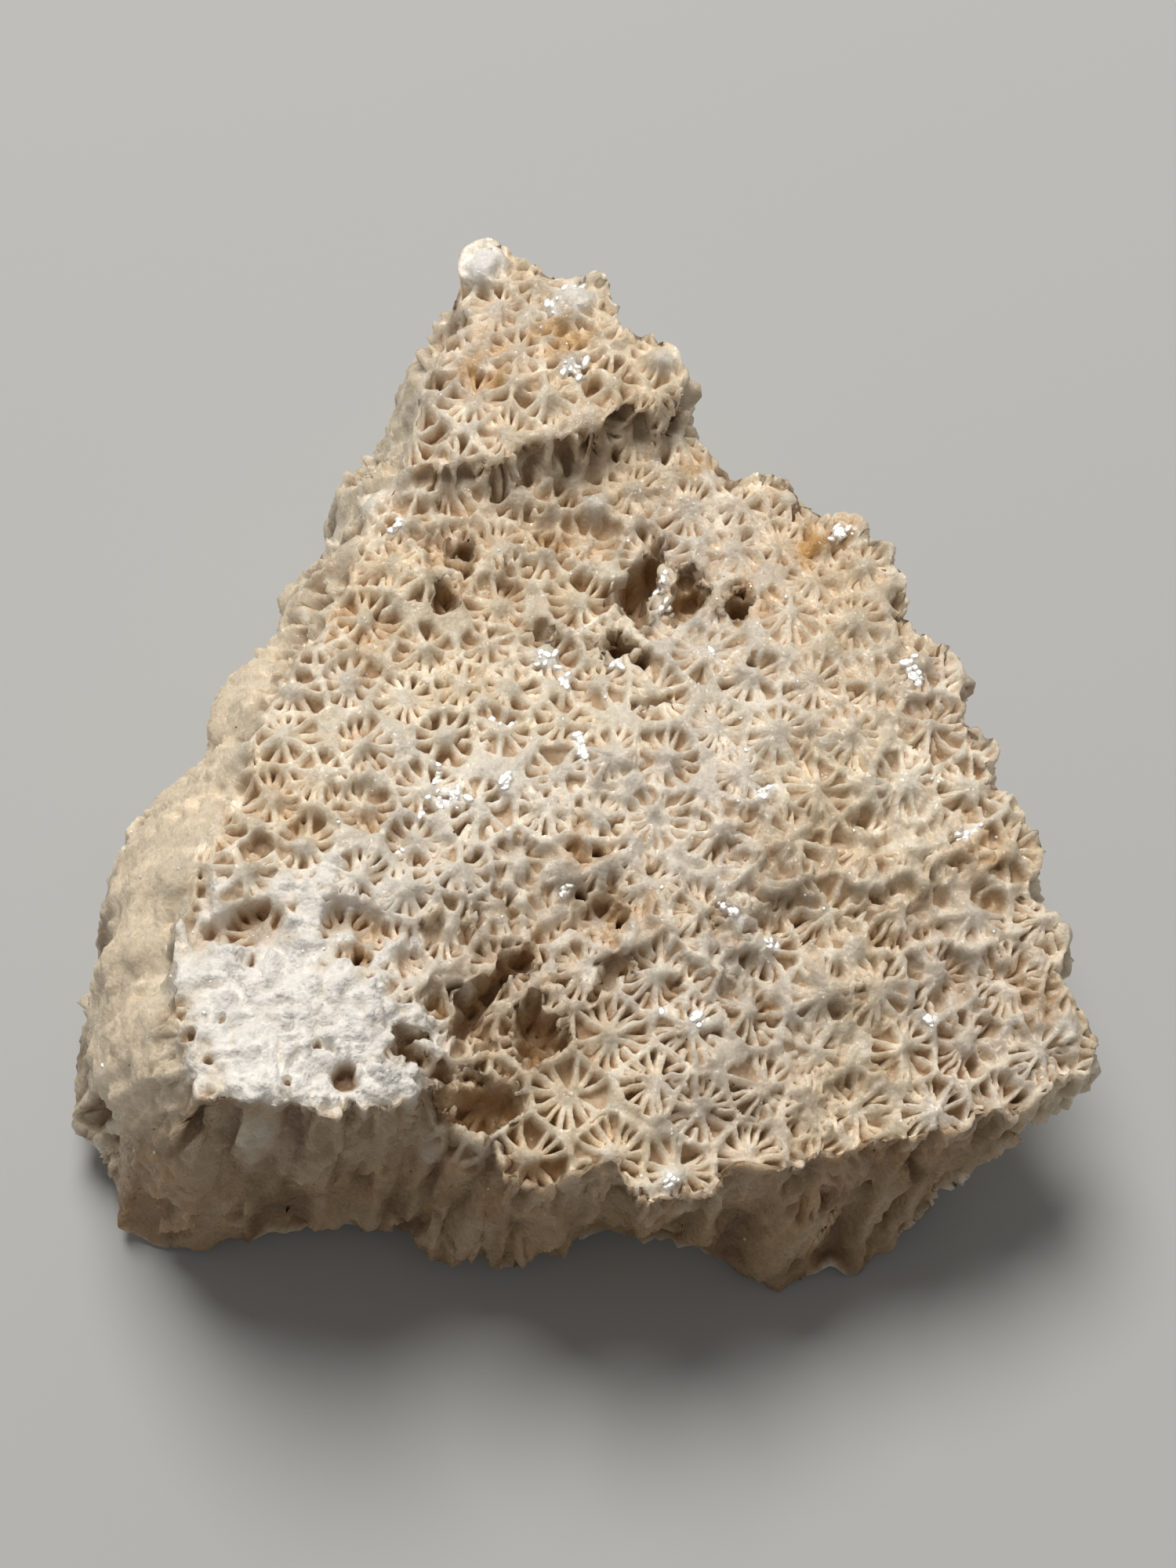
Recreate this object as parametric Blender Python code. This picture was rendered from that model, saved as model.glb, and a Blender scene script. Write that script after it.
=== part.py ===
"""Fossil coral: one broken chunk of a silicified colony, resting on its cut underside.

The tubes of the colony stand nearly upright. The top is a fracture straight across them, so it
shows every tube as a star of radial plates round a solid middle, and the flanks are fractures
along them, so they are fluted. Sizes below are in millimetres; the mesh is written in metres.
"""
import math
import random

import bmesh
import bpy
import numpy as np
from mathutils.geometry import delaunay_2d_cdt

# Names and units
PART_NAME = "fossil_coral"
MM = 0.001

# Colony pattern
TUBE_SPACING = 4.9
TUBE_LEAN = 0.12
FIELD_HALF_WIDTH = 44.0
TUBE_SEED = 5477
TUBE_JITTER = 0.8
TUBE_LEAST_GAP = 3.5
RELAX_GAP = 5.1
RELAX_SHARE = 0.3
RELAX_ROUNDS = 16
STAR_RADIUS = 1.5
PITS_PER_STAR = 8
PIT_DEPTH = (0.9, 1.7)
MIDDLE_DROP = 0.25
PLATE_DROP = 0.15
WALL_RISE = 0.2

# Broken edge, flanks and underside
RIM_STEP = 1.0
RIM_CLEARANCE = 0.8
EDGE_TOOTH = 0.22
EDGE_WAVE = 0.45
EDGE_WAVELENGTH = 5.0
FLANK_SWELL = 0.4
SWELL_WAVELENGTH = 10.0
BELLY_SHARE = 0.55
FLANK_STEPS = (0.08, 0.22, 0.38, 0.54, 0.7, 0.86, 1.0)
UNDERSIDE_GRID = 2.9
UNDERSIDE_CLEARANCE = 1.3
UNDERSIDE_ROUGHNESS = 0.45
UNDERSIDE_LEAST = 0.3

# The step that faces forward across the tip: its brink from left to right, and its run
LEDGE_BRINK = ((-13.0, 17.0), (-9.6, 17.3), (-5.6, 17.5), (-2.0, 18.9), (2.2, 19.9), (5.9, 21.4), (9.0, 22.9))
LEDGE_RUN = 1.7
HEIGHT_BLEND = 2.9
FACE_SWELL = 0.28
FACE_SWELL_WAVELENGTH = 7.0

# Heights of the raised tip behind that step: x, y, z
TIP_HEIGHTS = (
    (-6.4, 34.2, 24.9), (-5.0, 31.5, 25.2), (0.1, 30.3, 25.8), (3.5, 27.5, 25.9), (5.9, 24.8, 26.2),
    (-2.0, 25.9, 26.0), (2.3, 22.5, 26.3), (-7.5, 23.6, 25.6), (-2.5, 20.4, 26.2), (4.5, 21.4, 26.1),
    (-10.0, 19.5, 25.1),
)

# Heights of the rest of the upper face: x, y, z
FACE_HEIGHTS = (
    (0.7, 16.1, 22.9), (-4.7, 15.0, 23.2), (6.7, 17.1, 22.8), (-10.6, 15.1, 24.0), (-12.6, 8.4, 24.0),
    (-14.0, 1.7, 24.2), (-17.3, -4.4, 24.8), (-20.7, -9.0, 25.0), (-14.6, -9.5, 24.8), (-2.0, 10.9, 22.8),
    (-7.3, 6.4, 23.2), (-1.9, 2.0, 23.6), (3.3, 3.9, 23.4), (3.3, -4.3, 24.5), (-7.0, -4.2, 24.4),
    (-8.0, -10.5, 24.6), (-0.8, -10.4, 24.4), (11.5, 14.6, 22.8), (17.4, 12.1, 22.9), (13.9, 4.9, 23.8),
    (20.4, 6.7, 22.6), (24.4, -0.1, 22.0), (16.3, -2.6, 23.5), (26.8, -5.6, 21.3), (19.8, -10.4, 21.8),
    (9.4, -10.2, 23.8), (29.2, -10.8, 20.2), (31.2, -16.2, 18.4), (25.4, -17.1, 19.2), (17.5, -18.3, 20.8),
    (32.5, -22.0, 15.4), (25.9, -22.7, 16.6), (20.0, -28.0, 16.4), (18.5, -23.3, 18.2), (13.3, -27.5, 18.0),
    (10.8, -21.5, 20.7), (7.3, -16.2, 22.4), (5.7, -23.8, 21.2), (6.7, -31.5, 19.0), (0.2, -27.4, 20.7),
    (-0.3, -31.2, 19.6), (-4.8, -29.1, 19.5), (-6.8, -27.3, 20.5), (-22.9, -15.6, 25.0), (-16.9, -17.0, 24.6),
    (-23.4, -24.8, 25.2), (-16.5, -24.8, 25.2), (-13.0, -26.8, 24.9), (-9.4, -17.5, 24.5), (-5.5, -20.3, 22.0),
    (-1.8, -18.9, 22.2), (2.2, -16.4, 23.0), (-1.8, -23.8, 21.4),
)

# Broken hollows: middle x, y, half axis x, y, half width, depth
HOLLOWS = (
    (4.3, 8.5, 0.9, 3.2, 1.25, 4.6), (3.0, 4.0, 0.9, -1.3, 0.85, 4.4), (7.6, 7.8, 0.2, 1.9, 1.05, 3.0),
    (11.0, 6.8, -0.9, 0.2, 0.75, 3.4), (-7.9, 11.4, 0.1, 1.2, 0.8, 2.6), (-9.0, 7.4, 0.4, 1.1, 0.75, 2.4),
    (-3.0, 5.1, 1.1, 0.1, 0.75, 2.0), (-6.2, -20.5, 1.9, 2.8, 1.1, 3.0), (-2.3, -22.3, 0.2, 2.4, 1.75, 4.0),
    (-10.2, -24.9, -1.7, 0.4, 1.3, 3.2), (-6.2, -27.0, 0.2, 2.5, 2.2, 3.4), (2.7, -16.3, -1.9, 0.2, 1.6, 1.9),
    (-3.3, -17.0, 1.1, 0.3, 0.7, 2.0), (5.4, -0.7, -1.1, 0.0, 0.85, 1.8),
)
HOLLOW_FLOOR = 0.55
HOLLOW_BRINK = 1.15

# Tubes whose middles are placed one by one: x, y
CLEAR_TUBES = (
    (-5.8, 29.5), (-1.2, 28.5), (-7.2, 22.0), (-2.4, 21.5), (2.2, 22.9), (5.5, 24.9), (-11.7, 13.3),
    (-3.9, 15.6), (0.3, 17.1), (4.2, 16.5), (8.0, 14.8), (-2.0, 11.4), (1.0, 12.6), (-5.2, 11.9),
    (-5.2, 7.6), (-10.1, 3.1), (-15.2, 0.8), (-7.7, 0.7), (-4.3, 0.5), (-19.2, -3.8), (-14.1, -4.3),
    (-8.6, -3.3), (-5.0, -3.0), (-1.9, 3.2), (1.7, 0.8), (5.4, 0.1), (8.9, 3.2), (11.7, 1.4),
    (14.5, 6.2), (11.2, 11.4), (14.2, 12.0), (17.4, 12.1), (20.0, 10.3), (15.9, 0.9), (9.5, -2.5),
    (13.2, -2.9), (5.9, -4.8), (2.2, -4.8), (18.4, -3.0), (20.2, 1.3), (-10.5, -11.3), (-17.6, -11.2),
    (-6.4, -9.0), (-3.9, -12.0), (-1.1, -5.9), (-1.9, -8.7), (1.2, -9.2), (1.7, -12.4), (4.8, -13.7),
    (8.3, -15.2), (-14.9, -17.3), (-20.3, -17.2), (-8.4, -16.7), (0.2, -27.3), (5.7, -26.5),
    (8.7, -28.0), (11.8, -21.4), (16.7, -23.9), (16.8, -20.1), (20.7, -19.8),
)

# Outline, clockwise from the tip: rim x, y, then belly x, y, z, then foot x, y, z
OUTLINE = (
    (-5.6, 35.2, -5.5, 36.0, 14.0, -5.0, 34.6, 1.5), (-2.6, 32.6, -2.2, 33.4, 13.0, -2.4, 32.0, 1.0),
    (0.1, 31.6, 0.8, 32.2, 12.0, 0.2, 30.8, 0.8), (2.1, 30.4, 2.9, 30.4, 12.0, 2.2, 29.0, 0.6),
    (3.4, 27.6, 4.4, 27.6, 12.0, 3.6, 26.6, 0.6), (5.9, 25.7, 6.4, 25.4, 13.0, 5.4, 24.0, 0.8),
    (7.4, 24.8, 7.7, 23.8, 14.0, 6.4, 22.4, 1.0), (7.5, 22.6, 8.1, 21.4, 13.0, 7.0, 20.2, 1.0),
    (8.6, 19.5, 8.9, 18.6, 12.0, 8.2, 17.6, 0.8), (10.5, 17.0, 10.9, 16.6, 12.0, 10.2, 15.4, 0.6),
    (13.5, 17.0, 13.8, 16.4, 12.0, 12.8, 14.8, 0.8), (16.0, 15.5, 16.4, 15.0, 12.0, 15.2, 13.2, 1.0),
    (17.4, 13.8, 18.2, 13.6, 12.0, 17.0, 11.6, 1.2), (18.8, 14.1, 19.4, 13.2, 12.0, 18.2, 11.0, 1.5),
    (20.4, 12.0, 21.0, 11.0, 12.0, 19.6, 9.0, 1.6), (22.0, 9.4, 22.4, 8.6, 12.0, 20.8, 6.8, 1.8),
    (22.4, 6.2, 23.0, 6.0, 12.0, 21.8, 4.6, 2.0), (22.9, 4.7, 24.4, 4.2, 12.0, 22.8, 2.8, 2.2),
    (25.2, 3.9, 25.9, 2.2, 12.0, 24.2, 0.6, 2.4), (26.6, 0.4, 26.9, -0.8, 12.0, 25.0, -2.2, 2.8),
    (27.6, -3.6, 27.7, -4.6, 12.0, 25.8, -5.6, 3.2), (29.3, -7.8, 29.2, -8.4, 12.0, 27.2, -8.8, 3.8),
    (30.2, -10.6, 30.2, -11.2, 12.0, 28.2, -11.4, 4.4), (31.2, -13.0, 31.3, -13.6, 12.0, 29.2, -13.8, 5.2),
    (32.3, -15.0, 32.2, -15.8, 12.0, 30.2, -16.0, 6.2), (31.8, -18.0, 32.0, -18.4, 12.0, 30.6, -18.2, 7.4),
    (33.8, -21.2, 33.9, -21.4, 12.0, 32.4, -20.8, 8.8), (34.0, -22.8, 34.4, -22.8, 12.0, 33.2, -22.6, 9.6),
    (31.6, -24.4, 32.4, -24.6, 12.0, 31.6, -24.4, 8.4), (28.6, -26.6, 29.8, -26.6, 9.5, 29.2, -25.8, 6.2),
    (25.3, -27.4, 26.6, -28.2, 8.0, 26.4, -27.6, 4.0), (22.1, -28.5, 22.9, -30.6, 7.0, 22.4, -31.2, 0.9),
    (18.4, -29.7, 18.4, -32.0, 7.5, 17.6, -33.4, 0.0), (15.3, -30.8, 15.0, -32.8, 8.0, 14.0, -34.5, 0.0),
    (13.2, -31.4, 12.8, -32.6, 8.5, 12.6, -33.0, 0.0), (10.5, -31.2, 10.6, -32.4, 8.5, 10.5, -33.0, 0.0),
    (7.6, -32.9, 7.8, -32.6, 9.0, 7.7, -31.2, 1.2), (4.6, -33.6, 4.8, -32.8, 9.0, 4.6, -31.0, 1.4),
    (2.4, -31.5, 2.3, -31.9, 9.0, 2.3, -30.7, 1.2), (-1.8, -32.3, -1.8, -32.5, 9.0, -1.8, -31.3, 0.8),
    (-4.0, -32.2, -4.4, -32.9, 8.0, -5.3, -33.0, 0.0), (-5.6, -29.9, -6.6, -31.8, 9.0, -7.4, -32.3, 0.0),
    (-8.4, -28.4, -9.2, -31.0, 9.0, -9.6, -31.5, 0.0), (-10.2, -27.2, -11.8, -30.2, 9.0, -12.4, -29.7, 0.9),
    (-11.9, -29.0, -13.9, -30.7, 9.0, -14.8, -30.3, 0.0), (-16.4, -29.1, -17.2, -30.6, 9.0, -18.0, -29.9, 1.6),
    (-19.9, -29.1, -20.8, -31.0, 8.0, -21.4, -30.3, 1.4), (-22.4, -29.5, -25.2, -31.6, 6.0, -25.4, -31.2, 0.0),
    (-24.1, -28.5, -30.2, -29.6, 4.5, -29.5, -31.0, 0.0), (-24.7, -26.3, -33.2, -24.8, 5.0, -31.6, -25.8, 0.0),
    (-24.8, -23.7, -34.7, -20.4, 5.5, -33.0, -21.4, 0.0), (-24.9, -18.3, -34.7, -15.8, 6.5, -33.2, -16.4, 0.0),
    (-24.0, -12.9, -33.7, -10.9, 7.5, -32.4, -11.2, 0.0), (-22.7, -10.1, -32.5, -6.8, 8.0, -31.4, -7.2, 0.0),
    (-21.4, -7.3, -30.8, -2.6, 8.0, -29.8, -3.2, 0.0), (-20.4, -1.9, -26.8, 1.6, 8.5, -26.4, 1.0, 0.0),
    (-17.4, 3.6, -24.6, 7.0, 8.5, -24.0, 6.2, 0.0), (-14.5, 10.8, -21.6, 14.2, 8.5, -21.2, 13.2, 0.0),
    (-12.2, 16.7, -18.4, 20.6, 9.0, -18.2, 19.6, 0.0), (-10.0, 22.5, -15.0, 26.4, 10.0, -14.8, 25.2, 0.4),
    (-8.6, 28.0, -12.2, 30.8, 12.0, -12.0, 29.2, 0.9), (-8.3, 33.2, -9.4, 34.2, 14.0, -8.8, 32.6, 1.4),
)

# Heights of the underside: x, y, z
UNDERSIDE_HEIGHTS = (
    (-5.0, 31.0, 1.0), (0.0, 18.0, 1.5), (-14.0, 14.0, 0.9), (-2.0, 8.0, 1.7), (-20.0, -4.0, 1.1), (4.0, -8.0, 1.9),
    (-12.0, -14.0, 1.5), (-28.0, -20.0, 0.7), (-14.0, -27.0, 1.5), (2.0, -20.0, 1.5), (4.0, -29.0, 1.7),
    (15.0, -31.0, 0.4), (15.0, 9.0, 1.5), (20.0, -2.0, 2.7), (20.0, -14.0, 2.9), (22.0, -25.0, 2.9),
    (27.0, -8.0, 4.6), (28.0, -20.0, 6.6), (32.0, -22.0, 8.8),
)

# Flat places that the chunk rests on: x, y, radius
CONTACTS = ((-22.0, -19.0, 4.6), (12.0, -25.5, 4.4), (-6.5, 23.5, 3.6), (-5.0, -3.0, 4.2), (11.5, 2.5, 3.4))
CONTACT_SIDES = 10
CONTACT_MARGIN = 1.1

# Middle of the finished box in plan, brought to the origin
BOX_MIDDLE = (-0.42, 0.67)

# Look of the plain solid
CORAL_COLOUR = (0.60, 0.51, 0.38, 1.0)
CORAL_ROUGHNESS = 0.62


def clear_scene():
    """Remove whatever the scene holds."""
    for item in list(bpy.data.objects):
        bpy.data.objects.remove(item, do_unlink=True)


def ease(low, high, value):
    """Return 0 below low, 1 above high and a smooth rise between."""
    share = np.clip((value - low) / (high - low), 0.0, 1.0)
    return share * share * (3.0 - 2.0 * share)


def ripple(x, y, wavelength, seed):
    """Return a smooth random field between about -1 and 1, the same on every run."""
    chance = random.Random(seed)
    total = np.zeros_like(x, dtype=float)
    waves = 7
    for _ in range(waves):
        bearing = chance.uniform(0.0, math.tau)
        number = math.tau / (wavelength * chance.uniform(0.75, 1.5))
        phase = chance.uniform(0.0, math.tau)
        total += np.sin(number * (x * math.cos(bearing) + y * math.sin(bearing)) + phase)
    return total / math.sqrt(waves)


def blended_height(x, y, heights):
    """Blend the listed heights, the nearest ones counting most."""
    top = np.zeros_like(x, dtype=float)
    weight_sum = np.full_like(x, 1e-12, dtype=float)
    for at_x, at_y, z in heights:
        weight = np.exp(-((x - at_x) ** 2 + (y - at_y) ** 2) / (2.0 * HEIGHT_BLEND ** 2)) + 1e-9
        top += weight * z
        weight_sum += weight
    return top / weight_sum


def hollow_reach(x, y, hollow):
    """Return how far a point is from a hollow's middle, 1 at its brink."""
    at_x, at_y, axis_x, axis_y, half_width, _ = hollow
    length = math.hypot(axis_x, axis_y)
    along = ((x - at_x) * axis_x + (y - at_y) * axis_y) / (length * length)
    across = ((y - at_y) * axis_x - (x - at_x) * axis_y) / (length * half_width)
    return np.hypot(along, across)


def face_height(x, y):
    """Height of the upper face with its step and broken hollows, without the stars."""
    brink_x, brink_y = zip(*LEDGE_BRINK)
    behind_brink = y - np.interp(x, brink_x, brink_y)
    on_tip = ease(-LEDGE_RUN, 0.0, behind_brink)
    z = blended_height(x, y, FACE_HEIGHTS)
    z += on_tip * (blended_height(x, y, TIP_HEIGHTS) - z)
    z += FACE_SWELL * ripple(x, y, FACE_SWELL_WAVELENGTH, 11)
    for hollow in HOLLOWS:
        z -= hollow[5] * (1.0 - ease(HOLLOW_FLOOR, HOLLOW_BRINK, hollow_reach(x, y, hollow)))
    return z


def underside_height(x, y):
    """Height of the broken underside above the floor, away from its flat places."""
    rough = UNDERSIDE_ROUGHNESS * ripple(x, y, 6.0, 23)
    return np.maximum(blended_height(x, y, UNDERSIDE_HEIGHTS) + rough, UNDERSIDE_LEAST)


def tube_centres():
    """Middles of all tubes: the placed ones, and a relaxed fill of the field round them."""
    chance = random.Random(TUBE_SEED)
    placed = np.array(CLEAR_TUBES)
    fill = []
    row_height = TUBE_SPACING * math.sqrt(0.75)
    rows = int(2.0 * FIELD_HALF_WIDTH / row_height)
    columns = int(2.0 * FIELD_HALF_WIDTH / TUBE_SPACING)
    for row in range(rows):
        for column in range(columns):
            x = -FIELD_HALF_WIDTH + (column + 0.5 * (row % 2)) * TUBE_SPACING + chance.uniform(-TUBE_JITTER, TUBE_JITTER)
            y = -FIELD_HALF_WIDTH + row * row_height + chance.uniform(-TUBE_JITTER, TUBE_JITTER)
            if np.hypot(placed[:, 0] - x, placed[:, 1] - y).min() > TUBE_LEAST_GAP:
                fill.append((x, y))
    centres = np.vstack([placed, np.array(fill)])
    for _ in range(RELAX_ROUNDS):
        gap = centres[:, None, :] - centres[None, :, :]
        distance = np.hypot(gap[..., 0], gap[..., 1])
        np.fill_diagonal(distance, 1e9)
        push = np.clip(RELAX_GAP - distance, 0.0, None) / distance
        centres[len(placed):] += RELAX_SHARE * (gap * push[..., None]).sum(axis=1)[len(placed):]
    return centres


def outline_profiles():
    """Spread rim points evenly along the outline; each carries its belly and its foot."""
    rows = np.array(OUTLINE + OUTLINE[:1])
    run = np.concatenate([[0.0], np.cumsum(np.hypot(*np.diff(rows[:, :2], axis=0).T))])
    count = int(round(run[-1] / RIM_STEP))
    at_run = np.arange(count) * run[-1] / count
    return np.column_stack([np.interp(at_run, run, rows[:, column]) for column in range(rows.shape[1])])


def outward(points):
    """Unit normals in plan of a closed clockwise loop, pointing out."""
    along = np.roll(points, -2, axis=0) - np.roll(points, 2, axis=0)
    normal = np.column_stack([-along[:, 1], along[:, 0]])
    return normal / np.hypot(normal[:, 0], normal[:, 1])[:, None]


def flank_rings(profiles):
    """Return the rings of points from the rim down to the foot, fluted along the tubes."""
    chance = random.Random(TUBE_SEED + 1)
    normals = outward(profiles[:, 2:4])
    teeth = np.array([EDGE_TOOTH * (1 if i % 2 else -1) * chance.uniform(0.5, 1.5) for i in range(len(profiles))])
    rim = np.column_stack([profiles[:, :2], face_height(profiles[:, 0], profiles[:, 1])])
    belly = profiles[:, 2:5]
    foot = profiles[:, 5:8]
    rings = []
    for share in (0.0,) + FLANK_STEPS:
        to_rim = (share - BELLY_SHARE) * (share - 1.0) / BELLY_SHARE
        to_belly = share * (share - 1.0) / (BELLY_SHARE * (BELLY_SHARE - 1.0))
        to_foot = share * (share - BELLY_SHARE) / (1.0 - BELLY_SHARE)
        ring = to_rim * rim + to_belly * belly + to_foot * foot
        along_tube = ring[:, 0] - TUBE_LEAN * (ring[:, 2] - rim[:, 2])
        wave = EDGE_WAVE * ripple(along_tube, ring[:, 1], EDGE_WAVELENGTH, 31)
        swell = FLANK_SWELL * ripple(ring[:, 0] + 0.8 * ring[:, 2], ring[:, 1] - 1.1 * ring[:, 2], SWELL_WAVELENGTH, 37)
        ring[:, :2] += normals * (teeth + wave + swell)[:, None]
        rings.append(ring)
    rings[0][:, 2] += np.abs(teeth) * 1.2 - 0.15
    rings[-1][:, 2] = np.maximum(rings[-1][:, 2], 0.0)
    return rings


def inside(points, loop, clearance):
    """Tell which points lie inside a closed loop, at least the clearance away from it."""
    start = loop
    end = np.roll(loop, -1, axis=0)
    x = points[:, 0][:, None]
    y = points[:, 1][:, None]
    rises = (start[:, 1] > y) != (end[:, 1] > y)
    level = np.where(np.abs(end[:, 1] - start[:, 1]) < 1e-9, 1e-9, end[:, 1] - start[:, 1])
    crossing = start[:, 0] + (y - start[:, 1]) * (end[:, 0] - start[:, 0]) / level
    within = (rises & (x < crossing)).sum(axis=1) % 2 == 1
    nearest = np.hypot(x - start[:, 0], y - start[:, 1]).min(axis=1)
    return within & (nearest > clearance)


def star_points(centres):
    """Points of every star: its middle, its pits with the plates between, and the shared walls."""
    chance = random.Random(TUBE_SEED + 2)
    points = []
    for x, y in centres:
        points.append((x, y, MIDDLE_DROP))
        turn = chance.uniform(0.0, math.tau)
        size = STAR_RADIUS * chance.uniform(0.88, 1.12)
        for i in range(2 * PITS_PER_STAR):
            bearing = turn + i * math.pi / PITS_PER_STAR
            drop = chance.uniform(*PIT_DEPTH) if i % 2 else PLATE_DROP + chance.uniform(-0.1, 0.15)
            points.append((x + size * math.cos(bearing), y + size * math.sin(bearing), drop))
    _, pairs, triangles, _, _, _ = delaunay_2d_cdt([tuple(c) for c in centres], [], [], 0, 1e-6)
    for group in list(pairs) + list(triangles):
        x, y = centres[list(group)].mean(axis=0)
        points.append((x + chance.uniform(-0.3, 0.3), y + chance.uniform(-0.3, 0.3), -WALL_RISE))
    return np.array(points)


def hollow_points():
    """Points of every broken hollow: its brink, its floor and its deepest place."""
    points = []
    for at_x, at_y, axis_x, axis_y, half_width, _ in HOLLOWS:
        length = math.hypot(axis_x, axis_y)
        side_x = -axis_y / length * half_width
        side_y = axis_x / length * half_width
        points.append((at_x, at_y, 0.0))
        for reach, sides in ((HOLLOW_FLOOR, 6), (HOLLOW_BRINK, 9)):
            for i in range(sides):
                bearing = math.tau * i / sides
                along = reach * math.cos(bearing)
                across = reach * math.sin(bearing)
                points.append((at_x + along * axis_x + across * side_x, at_y + along * axis_y + across * side_y, 0.0))
    return np.array(points)


def thinned(points, least_gap):
    """Drop each point that comes closer than the gap to one kept before it."""
    kept = []
    for point in points:
        if not kept or np.hypot(*(np.array(kept)[:, :2] - point[:2]).T).min() > least_gap:
            kept.append(point)
    return np.array(kept)


def top_points(rim):
    """Points of the upper face inside its rim."""
    stars = star_points(tube_centres())
    clear_of_hollows = np.ones(len(stars), dtype=bool)
    for hollow in HOLLOWS:
        clear_of_hollows &= hollow_reach(stars[:, 0], stars[:, 1], hollow) > HOLLOW_BRINK + 0.15
    points = np.vstack([hollow_points(), stars[clear_of_hollows]])
    points = thinned(points[inside(points, rim[:, :2], RIM_CLEARANCE)], 0.3)
    z = face_height(points[:, 0], points[:, 1]) - points[:, 2]
    return np.column_stack([points[:, 0] - TUBE_LEAN * np.maximum(points[:, 2], 0.0), points[:, 1], z])


def underside_points(foot):
    """Points of the underside inside its foot: the flat places, and a rough grid round them."""
    chance = random.Random(TUBE_SEED + 3)
    flat = []
    for x, y, radius in CONTACTS:
        flat.append((x, y, 0.0))
        for i in range(CONTACT_SIDES):
            bearing = math.tau * i / CONTACT_SIDES
            flat.append((x + radius * math.cos(bearing), y + radius * math.sin(bearing), 0.0))
    rough = []
    steps = int(2.0 * FIELD_HALF_WIDTH / UNDERSIDE_GRID)
    for row in range(steps):
        for column in range(steps):
            x = -FIELD_HALF_WIDTH + (column + 0.5 * (row % 2)) * UNDERSIDE_GRID + chance.uniform(-0.7, 0.7)
            y = -FIELD_HALF_WIDTH + row * UNDERSIDE_GRID + chance.uniform(-0.7, 0.7)
            if all(math.hypot(x - flat_x, y - flat_y) > radius + CONTACT_MARGIN for flat_x, flat_y, radius in CONTACTS):
                rough.append((x, y, 1.0))
    points = np.array(flat + rough)
    points = points[inside(points, foot[:, :2], UNDERSIDE_CLEARANCE)]
    z = np.where(points[:, 2] > 0.0, underside_height(points[:, 0], points[:, 1]), 0.0)
    return np.column_stack([points[:, :2], z])


def fill_patch(mesh, loop_verts, loop, points):
    """Fill a closed loop of vertices with triangles through the given points."""
    count = len(loop)
    flat = [tuple(p) for p in np.vstack([loop[:, :2], points[:, :2]])]
    verts, _, faces, origins, _, _ = delaunay_2d_cdt(flat, [], [list(range(count))], 1, 1e-7)
    inner = [mesh.verts.new(tuple(p)) for p in points]
    found = []
    for sources in origins:
        found.append(loop_verts[sources[0]] if sources[0] < count else inner[sources[0] - count])
    for face in faces:
        mesh.faces.new([found[i] for i in face])


def build_chunk():
    """Model the chunk: extrude the rim down the flanks, then fill the top and the underside."""
    rings = flank_rings(outline_profiles())
    mesh = bmesh.new()
    rim_verts = [mesh.verts.new(tuple(p)) for p in rings[0]]
    loop_edges = [mesh.edges.new((rim_verts[i - 1], rim_verts[i])) for i in range(len(rim_verts))]
    lower_verts = rim_verts
    for ring in rings[1:]:
        pulled = bmesh.ops.extrude_edge_only(mesh, edges=loop_edges)["geom"]
        new_verts = {v for v in pulled if isinstance(v, bmesh.types.BMVert)}
        loop_edges = [e for e in pulled if isinstance(e, bmesh.types.BMEdge)]
        below = []
        for vert in lower_verts:
            below.append(next(e.other_vert(vert) for e in vert.link_edges if e.other_vert(vert) in new_verts))
        for vert, place in zip(below, ring):
            vert.co = tuple(place)
        lower_verts = below
    fill_patch(mesh, rim_verts, rings[0], top_points(rings[0]))
    fill_patch(mesh, lower_verts, rings[-1], underside_points(rings[-1]))
    bmesh.ops.triangulate(mesh, faces=mesh.faces[:])
    bmesh.ops.translate(mesh, vec=(-BOX_MIDDLE[0], -BOX_MIDDLE[1], 0.0), verts=mesh.verts[:])
    bmesh.ops.scale(mesh, vec=(MM, MM, MM), verts=mesh.verts[:])
    bmesh.ops.recalc_face_normals(mesh, faces=mesh.faces[:])
    return mesh


def coral_material():
    """Cream silica, dull with a faint sheen."""
    material = bpy.data.materials.new("silicified coral")
    material.use_nodes = True
    shader = material.node_tree.nodes["Principled BSDF"]
    shader.inputs["Base Color"].default_value = CORAL_COLOUR
    shader.inputs["Roughness"].default_value = CORAL_ROUGHNESS
    shader.inputs["Metallic"].default_value = 0.0
    return material


def main():
    clear_scene()
    collection = bpy.data.collections.new("Fossil coral")
    bpy.context.scene.collection.children.link(collection)
    mesh_data = bpy.data.meshes.new(PART_NAME)
    mesh = build_chunk()
    mesh.to_mesh(mesh_data)
    mesh.free()
    mesh_data.materials.append(coral_material())
    chunk = bpy.data.objects.new(PART_NAME, mesh_data)
    collection.objects.link(chunk)


main()
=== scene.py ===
"""Fossil coral: the dressed model of one broken chunk of a silicified colony.

The chunk is modelled as the real one broke. A block with the flanks' form is cut by the upper
face and by the underside, remeshed finely, and then eaten into along the colony's tubes: every
tube is a star of radial plates round a solid middle. Sizes are in millimetres and are written
to the meshes in metres.
"""
import math
import random

import bmesh
import bpy
import numpy as np
from mathutils import Matrix, Vector
from mathutils.bvhtree import BVHTree


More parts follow.
